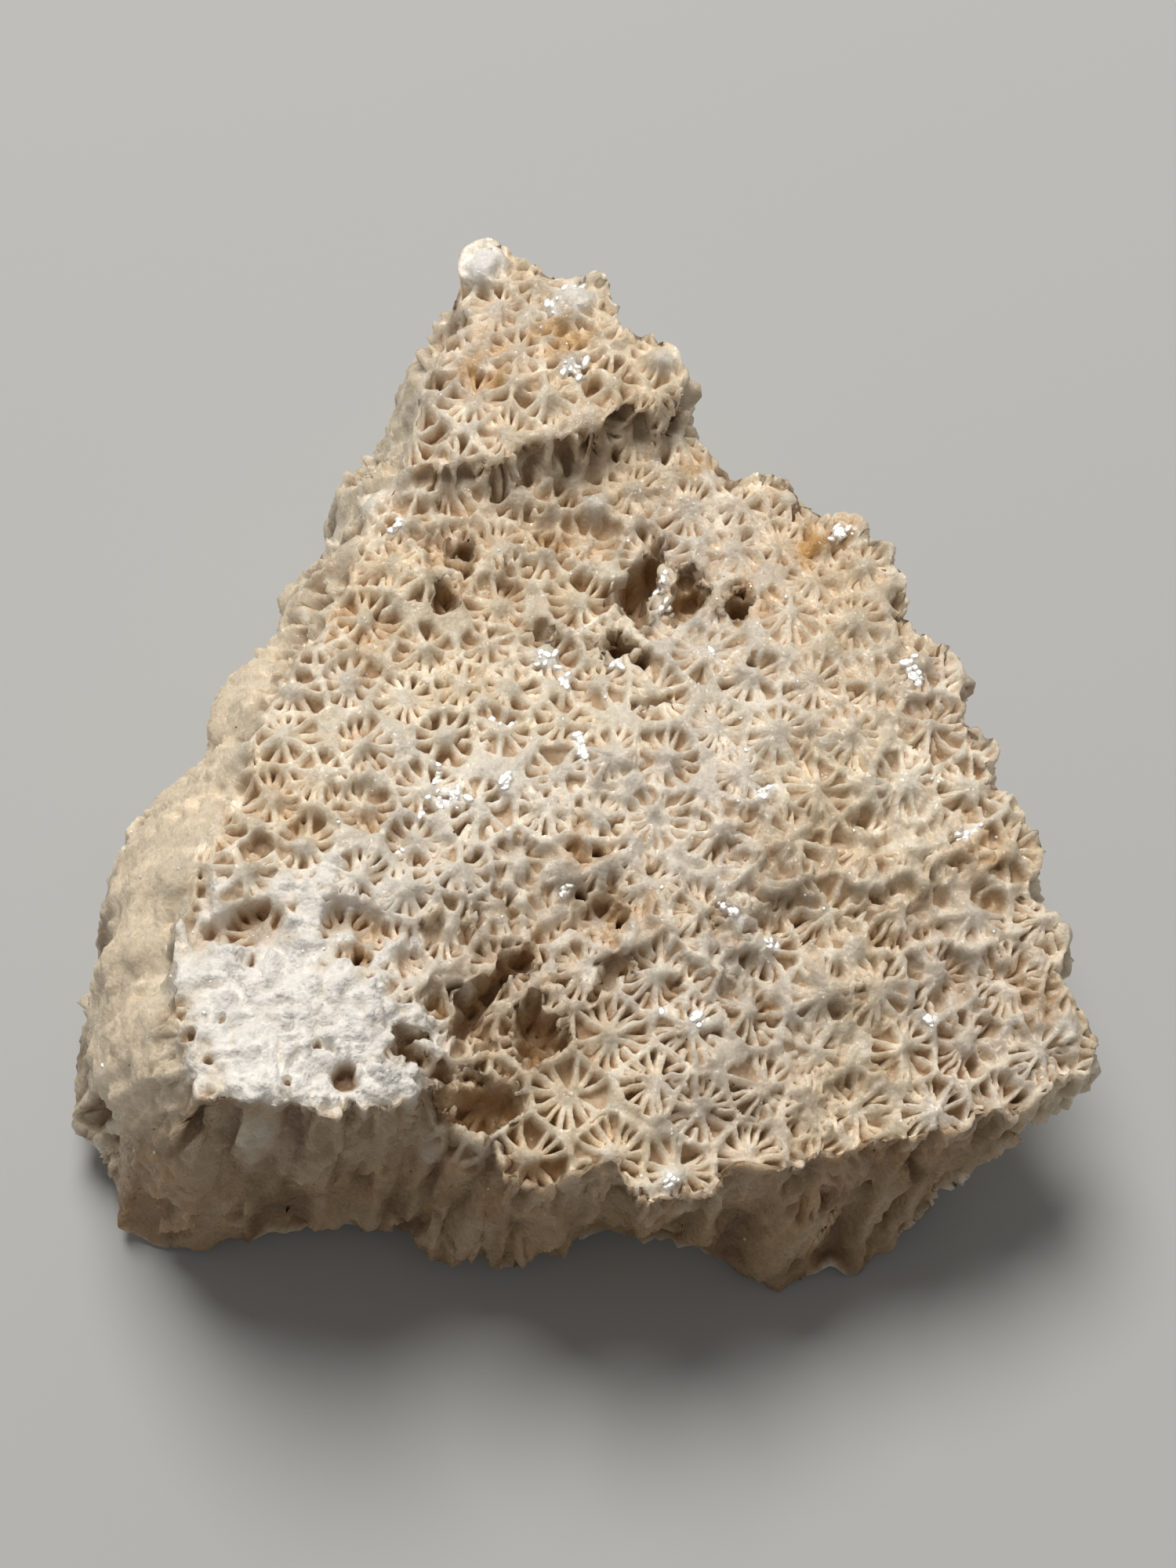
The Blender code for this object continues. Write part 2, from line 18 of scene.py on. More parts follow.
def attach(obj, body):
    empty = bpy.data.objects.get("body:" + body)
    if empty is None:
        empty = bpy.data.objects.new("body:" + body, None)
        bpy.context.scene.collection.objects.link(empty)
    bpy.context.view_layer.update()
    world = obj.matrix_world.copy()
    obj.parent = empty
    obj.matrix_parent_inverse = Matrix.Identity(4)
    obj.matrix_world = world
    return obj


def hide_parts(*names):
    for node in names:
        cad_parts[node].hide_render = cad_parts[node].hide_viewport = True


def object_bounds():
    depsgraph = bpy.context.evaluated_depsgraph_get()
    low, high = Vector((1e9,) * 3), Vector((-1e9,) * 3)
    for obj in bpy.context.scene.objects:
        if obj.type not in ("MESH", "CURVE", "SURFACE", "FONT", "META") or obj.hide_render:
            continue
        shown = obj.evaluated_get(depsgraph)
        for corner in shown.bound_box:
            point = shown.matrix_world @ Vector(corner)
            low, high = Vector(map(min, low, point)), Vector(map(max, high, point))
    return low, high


bl_info = {
    "name": "Fossil coral",
    "version": (1, 0, 0),
    "blender": (4, 5, 0),
    "location": "3D View > Sidebar > Fossil coral",
    "description": "Models a broken chunk of silicified fossil coral and a plain stage for it",
    "category": "Object",
}

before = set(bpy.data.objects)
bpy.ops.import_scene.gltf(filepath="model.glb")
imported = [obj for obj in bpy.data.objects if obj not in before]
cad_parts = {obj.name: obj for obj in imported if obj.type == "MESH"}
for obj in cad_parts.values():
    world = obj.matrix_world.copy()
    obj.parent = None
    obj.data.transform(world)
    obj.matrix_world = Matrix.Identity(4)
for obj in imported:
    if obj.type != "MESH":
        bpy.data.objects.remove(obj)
CAD_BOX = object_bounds()
NODE = "fossil_coral"
BODY = "root"
MM = 0.001

# Middle of the modelled box in plan, in the millimetres that the tables below use
BOX_MIDDLE = (-0.42, 0.67)

# Colony pattern: the tubes' spacing and how it is relaxed, their lean and how they fan out, and
# the plates, pits and walls in them
TUBE_SPACING = 4.9
FIELD_HALF_WIDTH = 44.0
TUBE_SEED = 5477
TUBE_JITTER = 0.8
TUBE_LEAST_GAP = 3.5
RELAX_GAP = 5.1
RELAX_SHARE = 0.3
RELAX_ROUNDS = 16
TUBE_LEAN = 0.12
COLONY_LEAN = 0.17
TUBE_SPREAD = 300.0
FACE_LEVEL = 24.0
MOST_PLATES = 20
WIDEST_GAP = 3.15
PIT_ROUNDING = 0.04
WALL_HALF_THICKNESS = 0.15
NO_PLATE = 9.0

# Relief of the upper face: grooves over walls, pores and worn places in them, nibbled plates,
# wear along the rim and the teeth of the comb on the step
GROOVE_DEPTH = 0.14
PORE_DEPTH = 0.4
WORN_DEPTH = 0.35
NIBBLE_DEPTH = 0.75
RIM_WEAR = 0.7
COMB_DEPTH = 1.3

# Relief of the flanks: how far ridges and folds stand out, and how deep slots and tubes that
# were cut open along their length go; the tubes' lean to the left and to the front on them
RIDGE_HEIGHT = 1.9
FOLD_HEIGHT = 1.3
SLOT_DEPTH = 0.5
OPEN_TUBE_DEPTH = 0.85
FLANK_LEAN = (0.24, 0.12)

# Broken edge and flanks: points along the rim, its teeth and waves, the flanks' swelling, and
# where their belly lies between the rim (0) and the foot (1)
RIM_STEP = 1.0
EDGE_TOOTH = 0.22
EDGE_WAVE = 0.45
EDGE_WAVELENGTH = 5.0
FLANK_SWELL = 0.4
SWELL_WAVELENGTH = 10.0
BELLY_SHARE = 0.55
FLANK_STEPS = (0.08, 0.22, 0.38, 0.54, 0.7, 0.86, 1.0)

# Levels between which the flanks' block stands, and the slab that cuts it
BLOCK_TOP = 32.0
BLOCK_BOTTOM = -4.0
SLAB_HALF_WIDTH = 38.0
SLAB_CELLS = 152

# The step that faces forward across the tip: its brink from left to right, and its run
LEDGE_BRINK = ((-13.0, 17.0), (-9.6, 17.3), (-5.6, 17.5), (-2.0, 18.9), (2.2, 19.9), (5.9, 21.4), (9.0, 22.9))
LEDGE_RUN = 1.7
HEIGHT_BLEND = 2.9
FACE_SWELL = 0.28
FACE_SWELL_WAVELENGTH = 7.0

# Heights of the raised tip behind that step: x, y, z
TIP_HEIGHTS = (
    (-6.4, 34.2, 24.9), (-5.0, 31.5, 25.2), (0.1, 30.3, 25.8), (3.5, 27.5, 25.9), (5.9, 24.8, 26.2),
    (-2.0, 25.9, 26.0), (2.3, 22.5, 26.3), (-7.5, 23.6, 25.6), (-2.5, 20.4, 26.2), (4.5, 21.4, 26.1),
    (-10.0, 19.5, 25.1),
)

# Heights of the rest of the upper face: x, y, z
FACE_HEIGHTS = (
    (0.7, 16.1, 22.9), (-4.7, 15.0, 23.2), (6.7, 17.1, 22.8), (-10.6, 15.1, 24.0), (-12.6, 8.4, 24.0),
    (-14.0, 1.7, 24.2), (-17.3, -4.4, 24.8), (-20.7, -9.0, 25.0), (-14.6, -9.5, 24.8), (-2.0, 10.9, 22.8),
    (-7.3, 6.4, 23.2), (-1.9, 2.0, 23.6), (3.3, 3.9, 23.4), (3.3, -4.3, 24.5), (-7.0, -4.2, 24.4),
    (-8.0, -10.5, 24.6), (-0.8, -10.4, 24.4), (11.5, 14.6, 22.8), (17.4, 12.1, 22.9), (13.9, 4.9, 23.8),
    (20.4, 6.7, 22.6), (24.4, -0.1, 22.0), (16.3, -2.6, 23.5), (26.8, -5.6, 21.3), (19.8, -10.4, 21.8),
    (9.4, -10.2, 23.8), (29.2, -10.8, 20.2), (31.2, -16.2, 18.4), (25.4, -17.1, 19.2), (17.5, -18.3, 20.8),
    (32.5, -22.0, 15.4), (25.9, -22.7, 16.6), (20.0, -28.0, 16.4), (18.5, -23.3, 18.2), (13.3, -27.5, 18.0),
    (10.8, -21.5, 20.7), (7.3, -16.2, 22.4), (5.7, -23.8, 21.2), (6.7, -31.5, 19.0), (0.2, -27.4, 20.7),
    (-0.3, -31.2, 19.6), (-4.8, -29.1, 19.5), (-6.8, -27.3, 20.5), (-22.9, -15.6, 25.0), (-16.9, -17.0, 24.6),
    (-23.4, -24.8, 25.2), (-16.5, -24.8, 25.2), (-13.0, -26.8, 24.9), (-9.4, -17.5, 24.5), (-5.5, -20.3, 22.0),
    (-1.8, -18.9, 22.2), (2.2, -16.4, 23.0), (-1.8, -23.8, 21.4),
)

# Broken hollows: middle x, y, half axis x, y, half width, depth
HOLLOWS = (
    (4.3, 8.5, 0.9, 3.2, 1.25, 4.6), (3.0, 4.0, 0.9, -1.3, 0.85, 4.4), (7.6, 7.8, 0.2, 1.9, 1.05, 3.0),
    (11.0, 6.8, -0.9, 0.2, 0.75, 3.4), (-7.9, 11.4, 0.1, 1.2, 0.8, 2.6), (-9.0, 7.4, 0.4, 1.1, 0.75, 2.4),
    (-3.0, 5.1, 1.1, 0.1, 0.75, 2.0), (5.4, -0.7, -1.1, 0.0, 0.85, 1.8), (-3.8, -18.2, 1.3, 0.2, 0.9, 2.8),
    (-6.6, -21.2, 1.8, 2.1, 0.85, 3.2), (-2.7, -22.9, 0.3, 2.0, 1.65, 3.6), (-10.4, -24.8, -1.5, 0.3, 1.2, 3.0),
    (-6.4, -27.2, 0.3, 2.5, 2.3, 3.6), (2.1, -19.3, 1.3, 1.5, 0.7, 1.8), (1.5, -15.4, -1.8, 0.2, 1.4, 1.5),
    (-7.0, -16.9, 0.5, 1.4, 0.55, 1.9), (-9.2, -16.9, 0.35, 1.3, 0.5, 1.7), (-9.2, -21.2, 0.3, 1.0, 0.8, 1.5),
    (-1.6, -20.1, 0.5, 0.1, 0.45, 1.7),
)
HOLLOW_FLOOR = 0.55
HOLLOW_BRINK = 1.15
HOLLOW_RAGGEDNESS = 0.19
DEEPEST_HOLLOW = 9.0

# Shallow recesses in which the tubes still show: middle x, y, half width in x, in y, depth
RECESSES = (
    (-14.1, -16.4, 2.3, 1.9, 1.5), (-20.8, -17.1, 2.5, 1.8, 1.4), (-24.1, -16.6, 0.9, 3.4, 1.2),
    (-17.6, -10.2, 2.2, 1.3, 0.8), (-10.4, -18.6, 1.0, 1.6, 0.8),
    (11.0, -19.5, 2.4, 2.0, 0.9), (16.8, -15.0, 3.0, 1.2, 0.5), (-1.6, 13.0, 4.5, 1.6, 0.6),
    (-8.5, 10.5, 1.8, 2.6, 0.6),
)

# Tubes whose middles are placed one by one: x, y
CLEAR_TUBES = (
    (-5.8, 29.5), (-1.2, 28.5), (-7.2, 22.0), (-2.4, 21.5), (2.2, 22.9), (5.5, 24.9), (-11.7, 13.3),
    (-3.9, 15.6), (0.3, 17.1), (4.2, 16.5), (8.0, 14.8), (-2.0, 11.4), (1.0, 12.6), (-5.2, 11.9),
    (-5.2, 7.6), (-10.1, 3.1), (-15.2, 0.8), (-7.7, 0.7), (-4.3, 0.5), (-19.2, -3.8), (-14.1, -4.3),
    (-8.6, -3.3), (-5.0, -3.0), (-1.9, 3.2), (1.7, 0.8), (5.4, 0.1), (8.9, 3.2), (11.7, 1.4),
    (14.5, 6.2), (11.2, 11.4), (14.2, 12.0), (17.4, 12.1), (20.0, 10.3), (15.9, 0.9), (9.5, -2.5),
    (13.2, -2.9), (5.9, -4.8), (2.2, -4.8), (18.4, -3.0), (20.2, 1.3), (-10.5, -11.3), (-17.6, -11.2),
    (-6.4, -9.0), (-3.9, -12.0), (-1.1, -5.9), (-1.9, -8.7), (1.2, -9.2), (1.7, -12.4), (4.8, -13.7),
    (8.3, -15.2), (-14.9, -17.3), (-20.3, -17.2), (-8.4, -16.7), (0.2, -27.3), (5.7, -26.5),
    (8.7, -28.0), (11.8, -21.4), (16.7, -23.9), (16.8, -20.1), (20.7, -19.8),
)

# Outline, clockwise from the tip: rim x, y, then belly x, y, z, then foot x, y, z
OUTLINE = (
    (-5.6, 35.2, -5.5, 36.0, 14.0, -5.0, 34.6, 1.5), (-2.6, 32.6, -2.2, 33.4, 13.0, -2.4, 32.0, 1.0),
    (0.1, 31.6, 0.8, 32.2, 12.0, 0.2, 30.8, 0.8), (2.1, 30.4, 2.9, 30.4, 12.0, 2.2, 29.0, 0.6),
    (3.4, 27.6, 4.4, 27.6, 12.0, 3.6, 26.6, 0.6), (5.9, 25.7, 6.4, 25.4, 13.0, 5.4, 24.0, 0.8),
    (7.4, 24.8, 7.7, 23.8, 14.0, 6.4, 22.4, 1.0), (7.5, 22.6, 8.1, 21.4, 13.0, 7.0, 20.2, 1.0),
    (8.6, 19.5, 8.9, 18.6, 12.0, 8.2, 17.6, 0.8), (10.5, 17.0, 10.9, 16.6, 12.0, 10.2, 15.4, 0.6),
    (13.5, 17.0, 13.8, 16.4, 12.0, 12.8, 14.8, 0.8), (16.0, 15.5, 16.4, 15.0, 12.0, 15.2, 13.2, 1.0),
    (17.4, 13.8, 18.2, 13.6, 12.0, 17.0, 11.6, 1.2), (18.8, 14.1, 19.4, 13.2, 12.0, 18.2, 11.0, 1.5),
    (20.4, 12.0, 21.0, 11.0, 12.0, 19.6, 9.0, 1.6), (22.0, 9.4, 22.4, 8.6, 12.0, 20.8, 6.8, 1.8),
    (22.4, 6.2, 23.0, 6.0, 12.0, 21.8, 4.6, 2.0), (22.9, 4.7, 24.4, 4.2, 12.0, 22.8, 2.8, 2.2),
    (25.2, 3.9, 25.9, 2.2, 12.0, 24.2, 0.6, 2.4), (26.6, 0.4, 26.9, -0.8, 12.0, 25.0, -2.2, 2.8),
    (27.6, -3.6, 27.7, -4.6, 12.0, 25.8, -5.6, 3.2), (29.3, -7.8, 29.2, -8.4, 12.0, 27.2, -8.8, 3.8),
    (30.2, -10.6, 30.2, -11.2, 12.0, 28.2, -11.4, 4.4), (31.2, -13.0, 31.3, -13.6, 12.0, 29.2, -13.8, 5.2),
    (32.3, -15.0, 32.2, -15.8, 12.0, 30.2, -16.0, 6.2), (31.8, -18.0, 32.0, -18.4, 12.0, 30.6, -18.2, 7.4),
    (33.8, -21.2, 33.9, -21.4, 12.0, 32.4, -20.8, 8.8), (34.0, -22.8, 34.4, -22.8, 12.0, 33.2, -22.6, 9.6),
    (31.6, -24.4, 32.4, -24.6, 12.0, 31.6, -24.4, 8.4), (28.6, -26.6, 29.8, -26.6, 9.5, 29.2, -25.8, 6.2),
    (25.3, -27.4, 26.6, -28.2, 8.0, 26.4, -27.6, 4.0), (22.1, -28.5, 22.9, -30.6, 7.0, 22.4, -31.2, 0.9),
    (18.4, -29.7, 18.4, -32.0, 7.5, 17.6, -33.4, 0.0), (15.3, -30.8, 15.0, -32.8, 8.0, 14.0, -34.5, 0.0),
    (13.2, -31.4, 12.8, -32.6, 8.5, 12.6, -33.0, 0.0), (10.5, -31.2, 10.6, -32.4, 8.5, 10.5, -33.0, 0.0),
    (7.6, -32.9, 7.8, -32.6, 9.0, 7.7, -31.2, 1.2), (4.6, -33.6, 4.8, -32.8, 9.0, 4.6, -31.0, 1.4),
    (2.4, -31.5, 2.3, -31.9, 9.0, 2.3, -30.7, 1.2), (-1.8, -32.3, -1.8, -32.5, 9.0, -1.8, -31.3, 0.8),
    (-4.0, -32.2, -4.4, -32.9, 8.0, -5.3, -33.0, 0.0), (-5.6, -29.9, -6.6, -31.8, 9.0, -7.4, -32.3, 0.0),
    (-8.4, -28.4, -9.2, -31.0, 9.0, -9.6, -31.5, 0.0), (-10.2, -27.2, -11.8, -30.2, 9.0, -12.4, -29.7, 0.9),
    (-11.9, -29.0, -13.9, -30.7, 9.0, -14.8, -30.3, 0.0), (-16.4, -29.1, -17.2, -30.6, 9.0, -18.0, -29.9, 1.6),
    (-19.9, -29.1, -20.8, -31.0, 8.0, -21.4, -30.3, 1.4), (-22.4, -29.5, -25.2, -31.6, 6.0, -25.4, -31.2, 0.0),
    (-24.1, -28.5, -30.2, -29.6, 4.5, -29.5, -31.0, 0.0), (-24.7, -26.3, -33.2, -24.8, 5.0, -31.6, -25.8, 0.0),
    (-24.8, -23.7, -34.7, -20.4, 5.5, -33.0, -21.4, 0.0), (-24.9, -18.3, -34.7, -15.8, 6.5, -33.2, -16.4, 0.0),
    (-24.0, -12.9, -33.7, -10.9, 7.5, -32.4, -11.2, 0.0), (-22.7, -10.1, -32.5, -6.8, 8.0, -31.4, -7.2, 0.0),
    (-21.4, -7.3, -30.8, -2.6, 8.0, -29.8, -3.2, 0.0), (-20.4, -1.9, -26.8, 1.6, 8.5, -26.4, 1.0, 0.0),
    (-17.4, 3.6, -24.6, 7.0, 8.5, -24.0, 6.2, 0.0), (-14.5, 10.8, -21.6, 14.2, 8.5, -21.2, 13.2, 0.0),
    (-12.2, 16.7, -18.4, 20.6, 9.0, -18.2, 19.6, 0.0), (-10.0, 22.5, -15.0, 26.4, 10.0, -14.8, 25.2, 0.4),
    (-8.6, 28.0, -12.2, 30.8, 12.0, -12.0, 29.2, 0.9), (-8.3, 33.2, -9.4, 34.2, 14.0, -8.8, 32.6, 1.4),
)

# Heights of the underside: x, y, z
UNDERSIDE_HEIGHTS = (
    (-5.0, 31.0, 1.0), (0.0, 18.0, 1.5), (-14.0, 14.0, 0.9), (-2.0, 8.0, 1.7), (-20.0, -4.0, 1.1), (4.0, -8.0, 1.9),
    (-12.0, -14.0, 1.5), (-28.0, -20.0, 0.7), (-14.0, -27.0, 1.5), (2.0, -20.0, 1.5), (4.0, -29.0, 1.7),
    (15.0, -31.0, 0.4), (15.0, 9.0, 1.5), (20.0, -2.0, 2.7), (20.0, -14.0, 2.9), (22.0, -25.0, 2.9),
    (27.0, -8.0, 4.6), (28.0, -20.0, 6.6), (32.0, -22.0, 8.8),
)
UNDERSIDE_ROUGHNESS = 0.45
UNDERSIDE_LEAST = 0.3

# Flat places that the chunk rests on: x, y, radius
CONTACTS = ((-22.0, -19.0, 4.6), (12.0, -25.5, 4.4), (-6.5, 23.5, 3.6), (-5.0, -3.0, 4.2), (11.5, 2.5, 3.4))

# White knobs of chalcedony on the break: x, y, z, radius, how far they stand out, how white they are
KNOBS = (
    (-6.6, 33.4, 25.0, 2.5, 0.7, 1.0), (-0.2, 30.2, 25.6, 2.3, 0.35, 0.6), (6.2, 24.9, 25.6, 1.6, 0.35, 0.5),
    (1.3, 15.1, 23.0, 1.5, 0.4, 0.4), (-4.2, 17.6, 23.6, 1.3, 0.3, 0.3), (-9.4, -29.0, 16.0, 1.5, 0.8, 0.5),
    (32.7, -20.7, 16.5, 1.6, 0.3, 0.4), (5.8, -32.4, 18.8, 1.5, 0.4, 0.6), (-10.6, 24.0, 24.0, 1.8, 0.4, 0.4),
    (-14.2, 15.5, 22.5, 1.7, 0.4, 0.4),
)

# Small round holes in the upper face: x, y, radius, depth
FACE_HOLES = (
    (-24.3, -24.6, 0.5, 1.3), (-22.3, -23.7, 0.3, 0.8), (-23.0, -26.4, 0.35, 0.9), (-16.3, -25.2, 0.32, 1.2),
    (-18.1, -28.0, 0.4, 1.2), (-14.5, -27.3, 1.0, 1.8), (-13.6, -19.1, 0.8, 1.3), (0.4, -14.1, 0.35, 2.4),
    (3.1, -15.7, 0.5, 2.8), (1.5, -11.6, 0.45, 2.0), (-2.3, -18.2, 0.6, 2.4), (-0.1, -11.3, 0.6, 1.4),
    (4.4, 2.7, 0.8, 3.0), (11.8, 2.3, 0.5, 2.2), (11.3, 7.1, 0.7, 2.4), (-20.4, -11.4, 0.9, 1.4),
)

# Holes in the flanks: x, y, z, radius, depth
FLANK_HOLES = ((13.8, -31.0, 11.0, 1.2, 1.8), (22.4, -28.6, 12.0, 0.8, 1.2), (-2.0, -32.4, 11.5, 0.7, 1.0))

# Iron stains on the upper face: x, y, radius, strength
STAINS = (
    (-6.8, 23.6, 1.9, 0.8), (-5.9, 26.3, 1.3, 0.5), (-0.9, 26.9, 2.2, 0.6), (15.8, 12.0, 1.6, 1.0),
    (17.8, 12.6, 1.5, 1.0), (18.4, 14.6, 1.2, 0.5), (-8.1, 11.4, 1.4, 0.5), (-16.2, 6.0, 2.4, 0.3),
    (8.3, 18.2, 1.5, 0.7), (11.3, 7.1, 2.0, 0.5), (0.4, -11.6, 2.0, 0.5), (26.6, -10.0, 2.4, 0.4),
    (-14.0, 3.5, 2.6, 0.3), (31.0, -19.0, 2.6, 0.4), (3.5, -15.5, 2.2, 0.5), (-18.5, -7.5, 2.6, 0.35),
)

# Whiter silica: x, y, radius, strength
PALES = (
    (22.5, -5.5, 4.5, 0.8), (-12.5, 14.5, 2.6, 0.7), (-17.0, -6.5, 4.0, 0.6), (-6.5, -8.0, 5.0, 0.7),
    (-9.5, -4.5, 4.0, 0.6), (2.5, -1.0, 4.0, 0.5), (10.5, -28.0, 3.0, 0.7), (9.0, -24.0, 3.0, 0.6),
    (-2.5, 1.5, 3.2, 0.7), (13.0, 7.0, 4.0, 0.4), (30.0, -15.0, 3.0, 0.5), (-3.0, 22.0, 3.0, 0.4),
    (2.5, 12.0, 2.6, 0.5), (-14.0, -12.0, 3.5, 0.6),
)

# Patches that tint the cream tan: x, y, radius, strength
TAN_TINT_PATCHES = (
    (24.0, -17.0, 11.0, 0.22), (11.0, -28.0, 7.0, 0.3), (-4.5, 26.0, 7.0, 0.4), (-9.0, 13.0, 6.0, 0.35),
    (3.0, 17.0, 8.0, 0.3), (-4.0, -21.0, 6.0, 0.45), (20.0, 3.0, 7.0, 0.3), (14.0, 10.5, 8.0, 0.4),
    (15.0, -12.0, 6.0, 0.25), (2.0, -15.0, 5.0, 0.25),
)

# Grey patches: clear grey silica where the cream is thin, and painted shade in front of the step and in the chalk's
# recesses: x, y, radius, strength
GREY_AND_SHADE_PATCHES = (
    (3.4, 14.8, 4.2, 0.7), (-0.9, 17.3, 3.6, 0.8), (6.7, 19.5, 2.6, 0.8), (-2.5, 11.1, 3.2, 0.5),
    (9.8, -17.7, 2.4, 0.9), (11.0, -19.9, 2.2, 1.0), (11.2, -27.3, 2.2, 0.8), (10.5, -22.9, 2.4, 0.7),
    (-21.2, -16.6, 2.6, 0.9), (-13.4, -16.0, 2.2, 0.8), (-12.0, -11.6, 2.6, 0.5), (13.5, -12.0, 4.0, 0.4),
    (-2.0, 2.0, 5.0, 0.4), (8.0, -24.5, 2.4, 0.5), (-7.0, -12.5, 2.6, 0.4),
)

# Crumbly places, where the tubes are hard to make out: x, y, radius, strength
CRUMBLY = (
    (22.0, -13.0, 8.0, 1.0), (13.0, -12.5, 6.0, 0.9), (27.5, -19.0, 7.0, 0.8), (9.5, -18.5, 4.5, 1.0),
    (16.0, -27.0, 5.0, 0.7), (-7.5, 12.0, 5.0, 0.9), (0.5, 13.5, 5.0, 0.6), (-12.0, 16.0, 4.0, 0.6),
    (-2.0, -14.0, 5.0, 0.8), (4.5, -9.0, 4.5, 0.5), (24.0, -3.0, 4.5, 0.7), (18.0, -6.0, 5.0, 0.5),
    (-10.0, 20.0, 3.0, 0.5), (-14.0, -8.0, 3.5, 0.5), (8.0, 8.0, 4.0, 0.5),
)

# Chalky crust over the front left of the upper face: its middle, its half width in x and in y,
# and where tubes show through it: x, y, radius, how clearly
CHALK_MIDDLE = (-17.6, -22.0)
CHALK_HALF_WIDTH = (8.2, 8.4)
CHALK_GAPS = ((-20.8, -16.3, 2.8, 1.0), (-13.4, -17.4, 3.2, 1.0), (-10.6, -20.6, 2.2, 0.8), (-24.0, -25.4, 1.6, 0.4))

# Where the break flashes, where crystals grow and white is painted on as painted highlight: x, y, half length, half
# width, bearing in degrees, crystals
GLINTS = (
    (-0.3, 24.2, 1.1, 0.5, 25.0, 16), (-12.5, 12.7, 0.6, 0.35, 10.0, 9), (-8.4, -7.9, 1.0, 0.8, 0.0, 26),
    (-9.2, -6.0, 0.9, 0.22, 80.0, 12), (-10.1, -8.7, 0.8, 0.2, 78.0, 10), (-4.7, -7.1, 1.3, 0.22, 62.0, 15),
    (0.2, -4.0, 1.2, 0.35, 100.0, 14), (-2.2, 2.7, 0.9, 0.8, 30.0, 12), (-0.9, 1.3, 0.8, 0.4, 110.0, 9),
    (18.0, 12.9, 0.8, 0.5, 40.0, 16), (22.5, 2.3, 1.0, 0.3, 125.0, 16), (22.3, 2.9, 0.5, 0.3, 20.0, 8),
    (10.1, -15.3, 1.1, 0.25, 140.0, 14), (12.6, -17.0, 0.5, 0.3, 170.0, 8), (7.8, -22.2, 0.6, 0.4, 60.0, 9),
    (6.0, -32.4, 0.6, 0.45, 60.0, 12), (9.0, 3.2, 0.35, 0.12, 110.0, 4), (5.7, 7.1, 0.7, 0.3, 70.0, 8),
    (2.8, 2.7, 0.5, 0.3, 80.0, 6), (25.9, -8.9, 0.8, 0.4, 50.0, 9), (-11.5, -11.6, 0.4, 0.3, 0.0, 5),
    (-0.8, -14.0, 0.4, 0.3, 0.0, 5), (-2.0, 29.2, 0.9, 0.5, 60.0, 9), (-0.1, 31.2, 0.8, 0.6, 20.0, 10),
    (-5.0, -2.2, 0.7, 0.3, 165.0, 7), (23.2, -20.9, 0.5, 0.3, 0.0, 5), (5.5, -21.8, 0.3, 0.2, 0.0, 3),
    (12.4, -7.0, 0.9, 0.5, 40.0, 9), (5.6, 8.9, 0.9, 0.35, 80.0, 14),
)

# Share of its first mesh that a part keeps before the whole chunk is thinned
KEPT_MESH = (("underside", 0.05), ("flanks", 0.11))

# Points that are worked on at once, to spare memory
AT_ONCE = 60000

# Crystals: how loosely those in a bright patch and those between are turned to flash, and how
# steep a place may be that those between grow on
PATCH_LOOSENESS = 0.05
BETWEEN_LOOSENESS = 0.12
GENTLEST_NORMAL_Z = 0.35

# Sizes of what the materials draw, in millimetres: grains of 0.1 to 0.2 mm are drawn 0.32 mm
# wide, the finest that still shows
GRAIN_WIDTH = 0.32
SPECK_SPACING = 1.5
CRUMB_WIDTH = 1.1
CLOUD_WIDTH = 0.8
QUARTZ_IOR = 1.54

# Camera: how far and how steeply it looks down, what it looks at, and its lens
CAMERA_ELEVATION = 65.0
CAMERA_DISTANCE = 200.0
CAMERA_TARGET = (0.7, -5.0, 20.0)
IMAGE_HEIGHT = 2000
FOCAL_PIXELS = 3802.0
SENSOR = 36.0

# The main light, high behind the chunk as the camera sees it, and what it points at, in metres
KEY_ELEVATION = math.radians(60.0)
KEY_DISTANCE = 1.1
KEY_SIZE = 0.6
KEY_COLOUR = (1.0, 0.97, 0.92)
FILL_COLOUR = (1.0, 0.97, 0.93)
LIT_POINT = Vector((0.0, 0.0, 0.02))

# Colours
CREAM = "D8CFC2"
WARM_CREAM = "D7C8AF"
PALE = "F4ECDC"
PIT_TAN_AND_SHADE = "B89E80"
AMBER = "A67E4C"
DEEP_BROWN_AND_SHADE = "5E4028"
CHALK = "FAF7F2"
STAIN = "BC9258"
PAINTED_LIT_FLANK = "EFDDC2"
GREY_AND_SHADE = "B0A89C"
SPECK = "3A2A1D"
CRYSTAL = "FDFCFA"
FLOOR_COLOUR = "C9CBCC"


def linear(code):
    """Turn an sRGB hex colour into linear RGB."""
    parts = [int(code[i:i + 2], 16) / 255.0 for i in (0, 2, 4)]
    return tuple(p / 12.92 if p <= 0.04045 else ((p + 0.055) / 1.055) ** 2.4 for p in parts)


def colour_setting(name, description, code):
    """Declare a colour that a user can change."""
    return bpy.props.FloatVectorProperty(name=name, description=description, subtype="COLOR", default=linear(code))


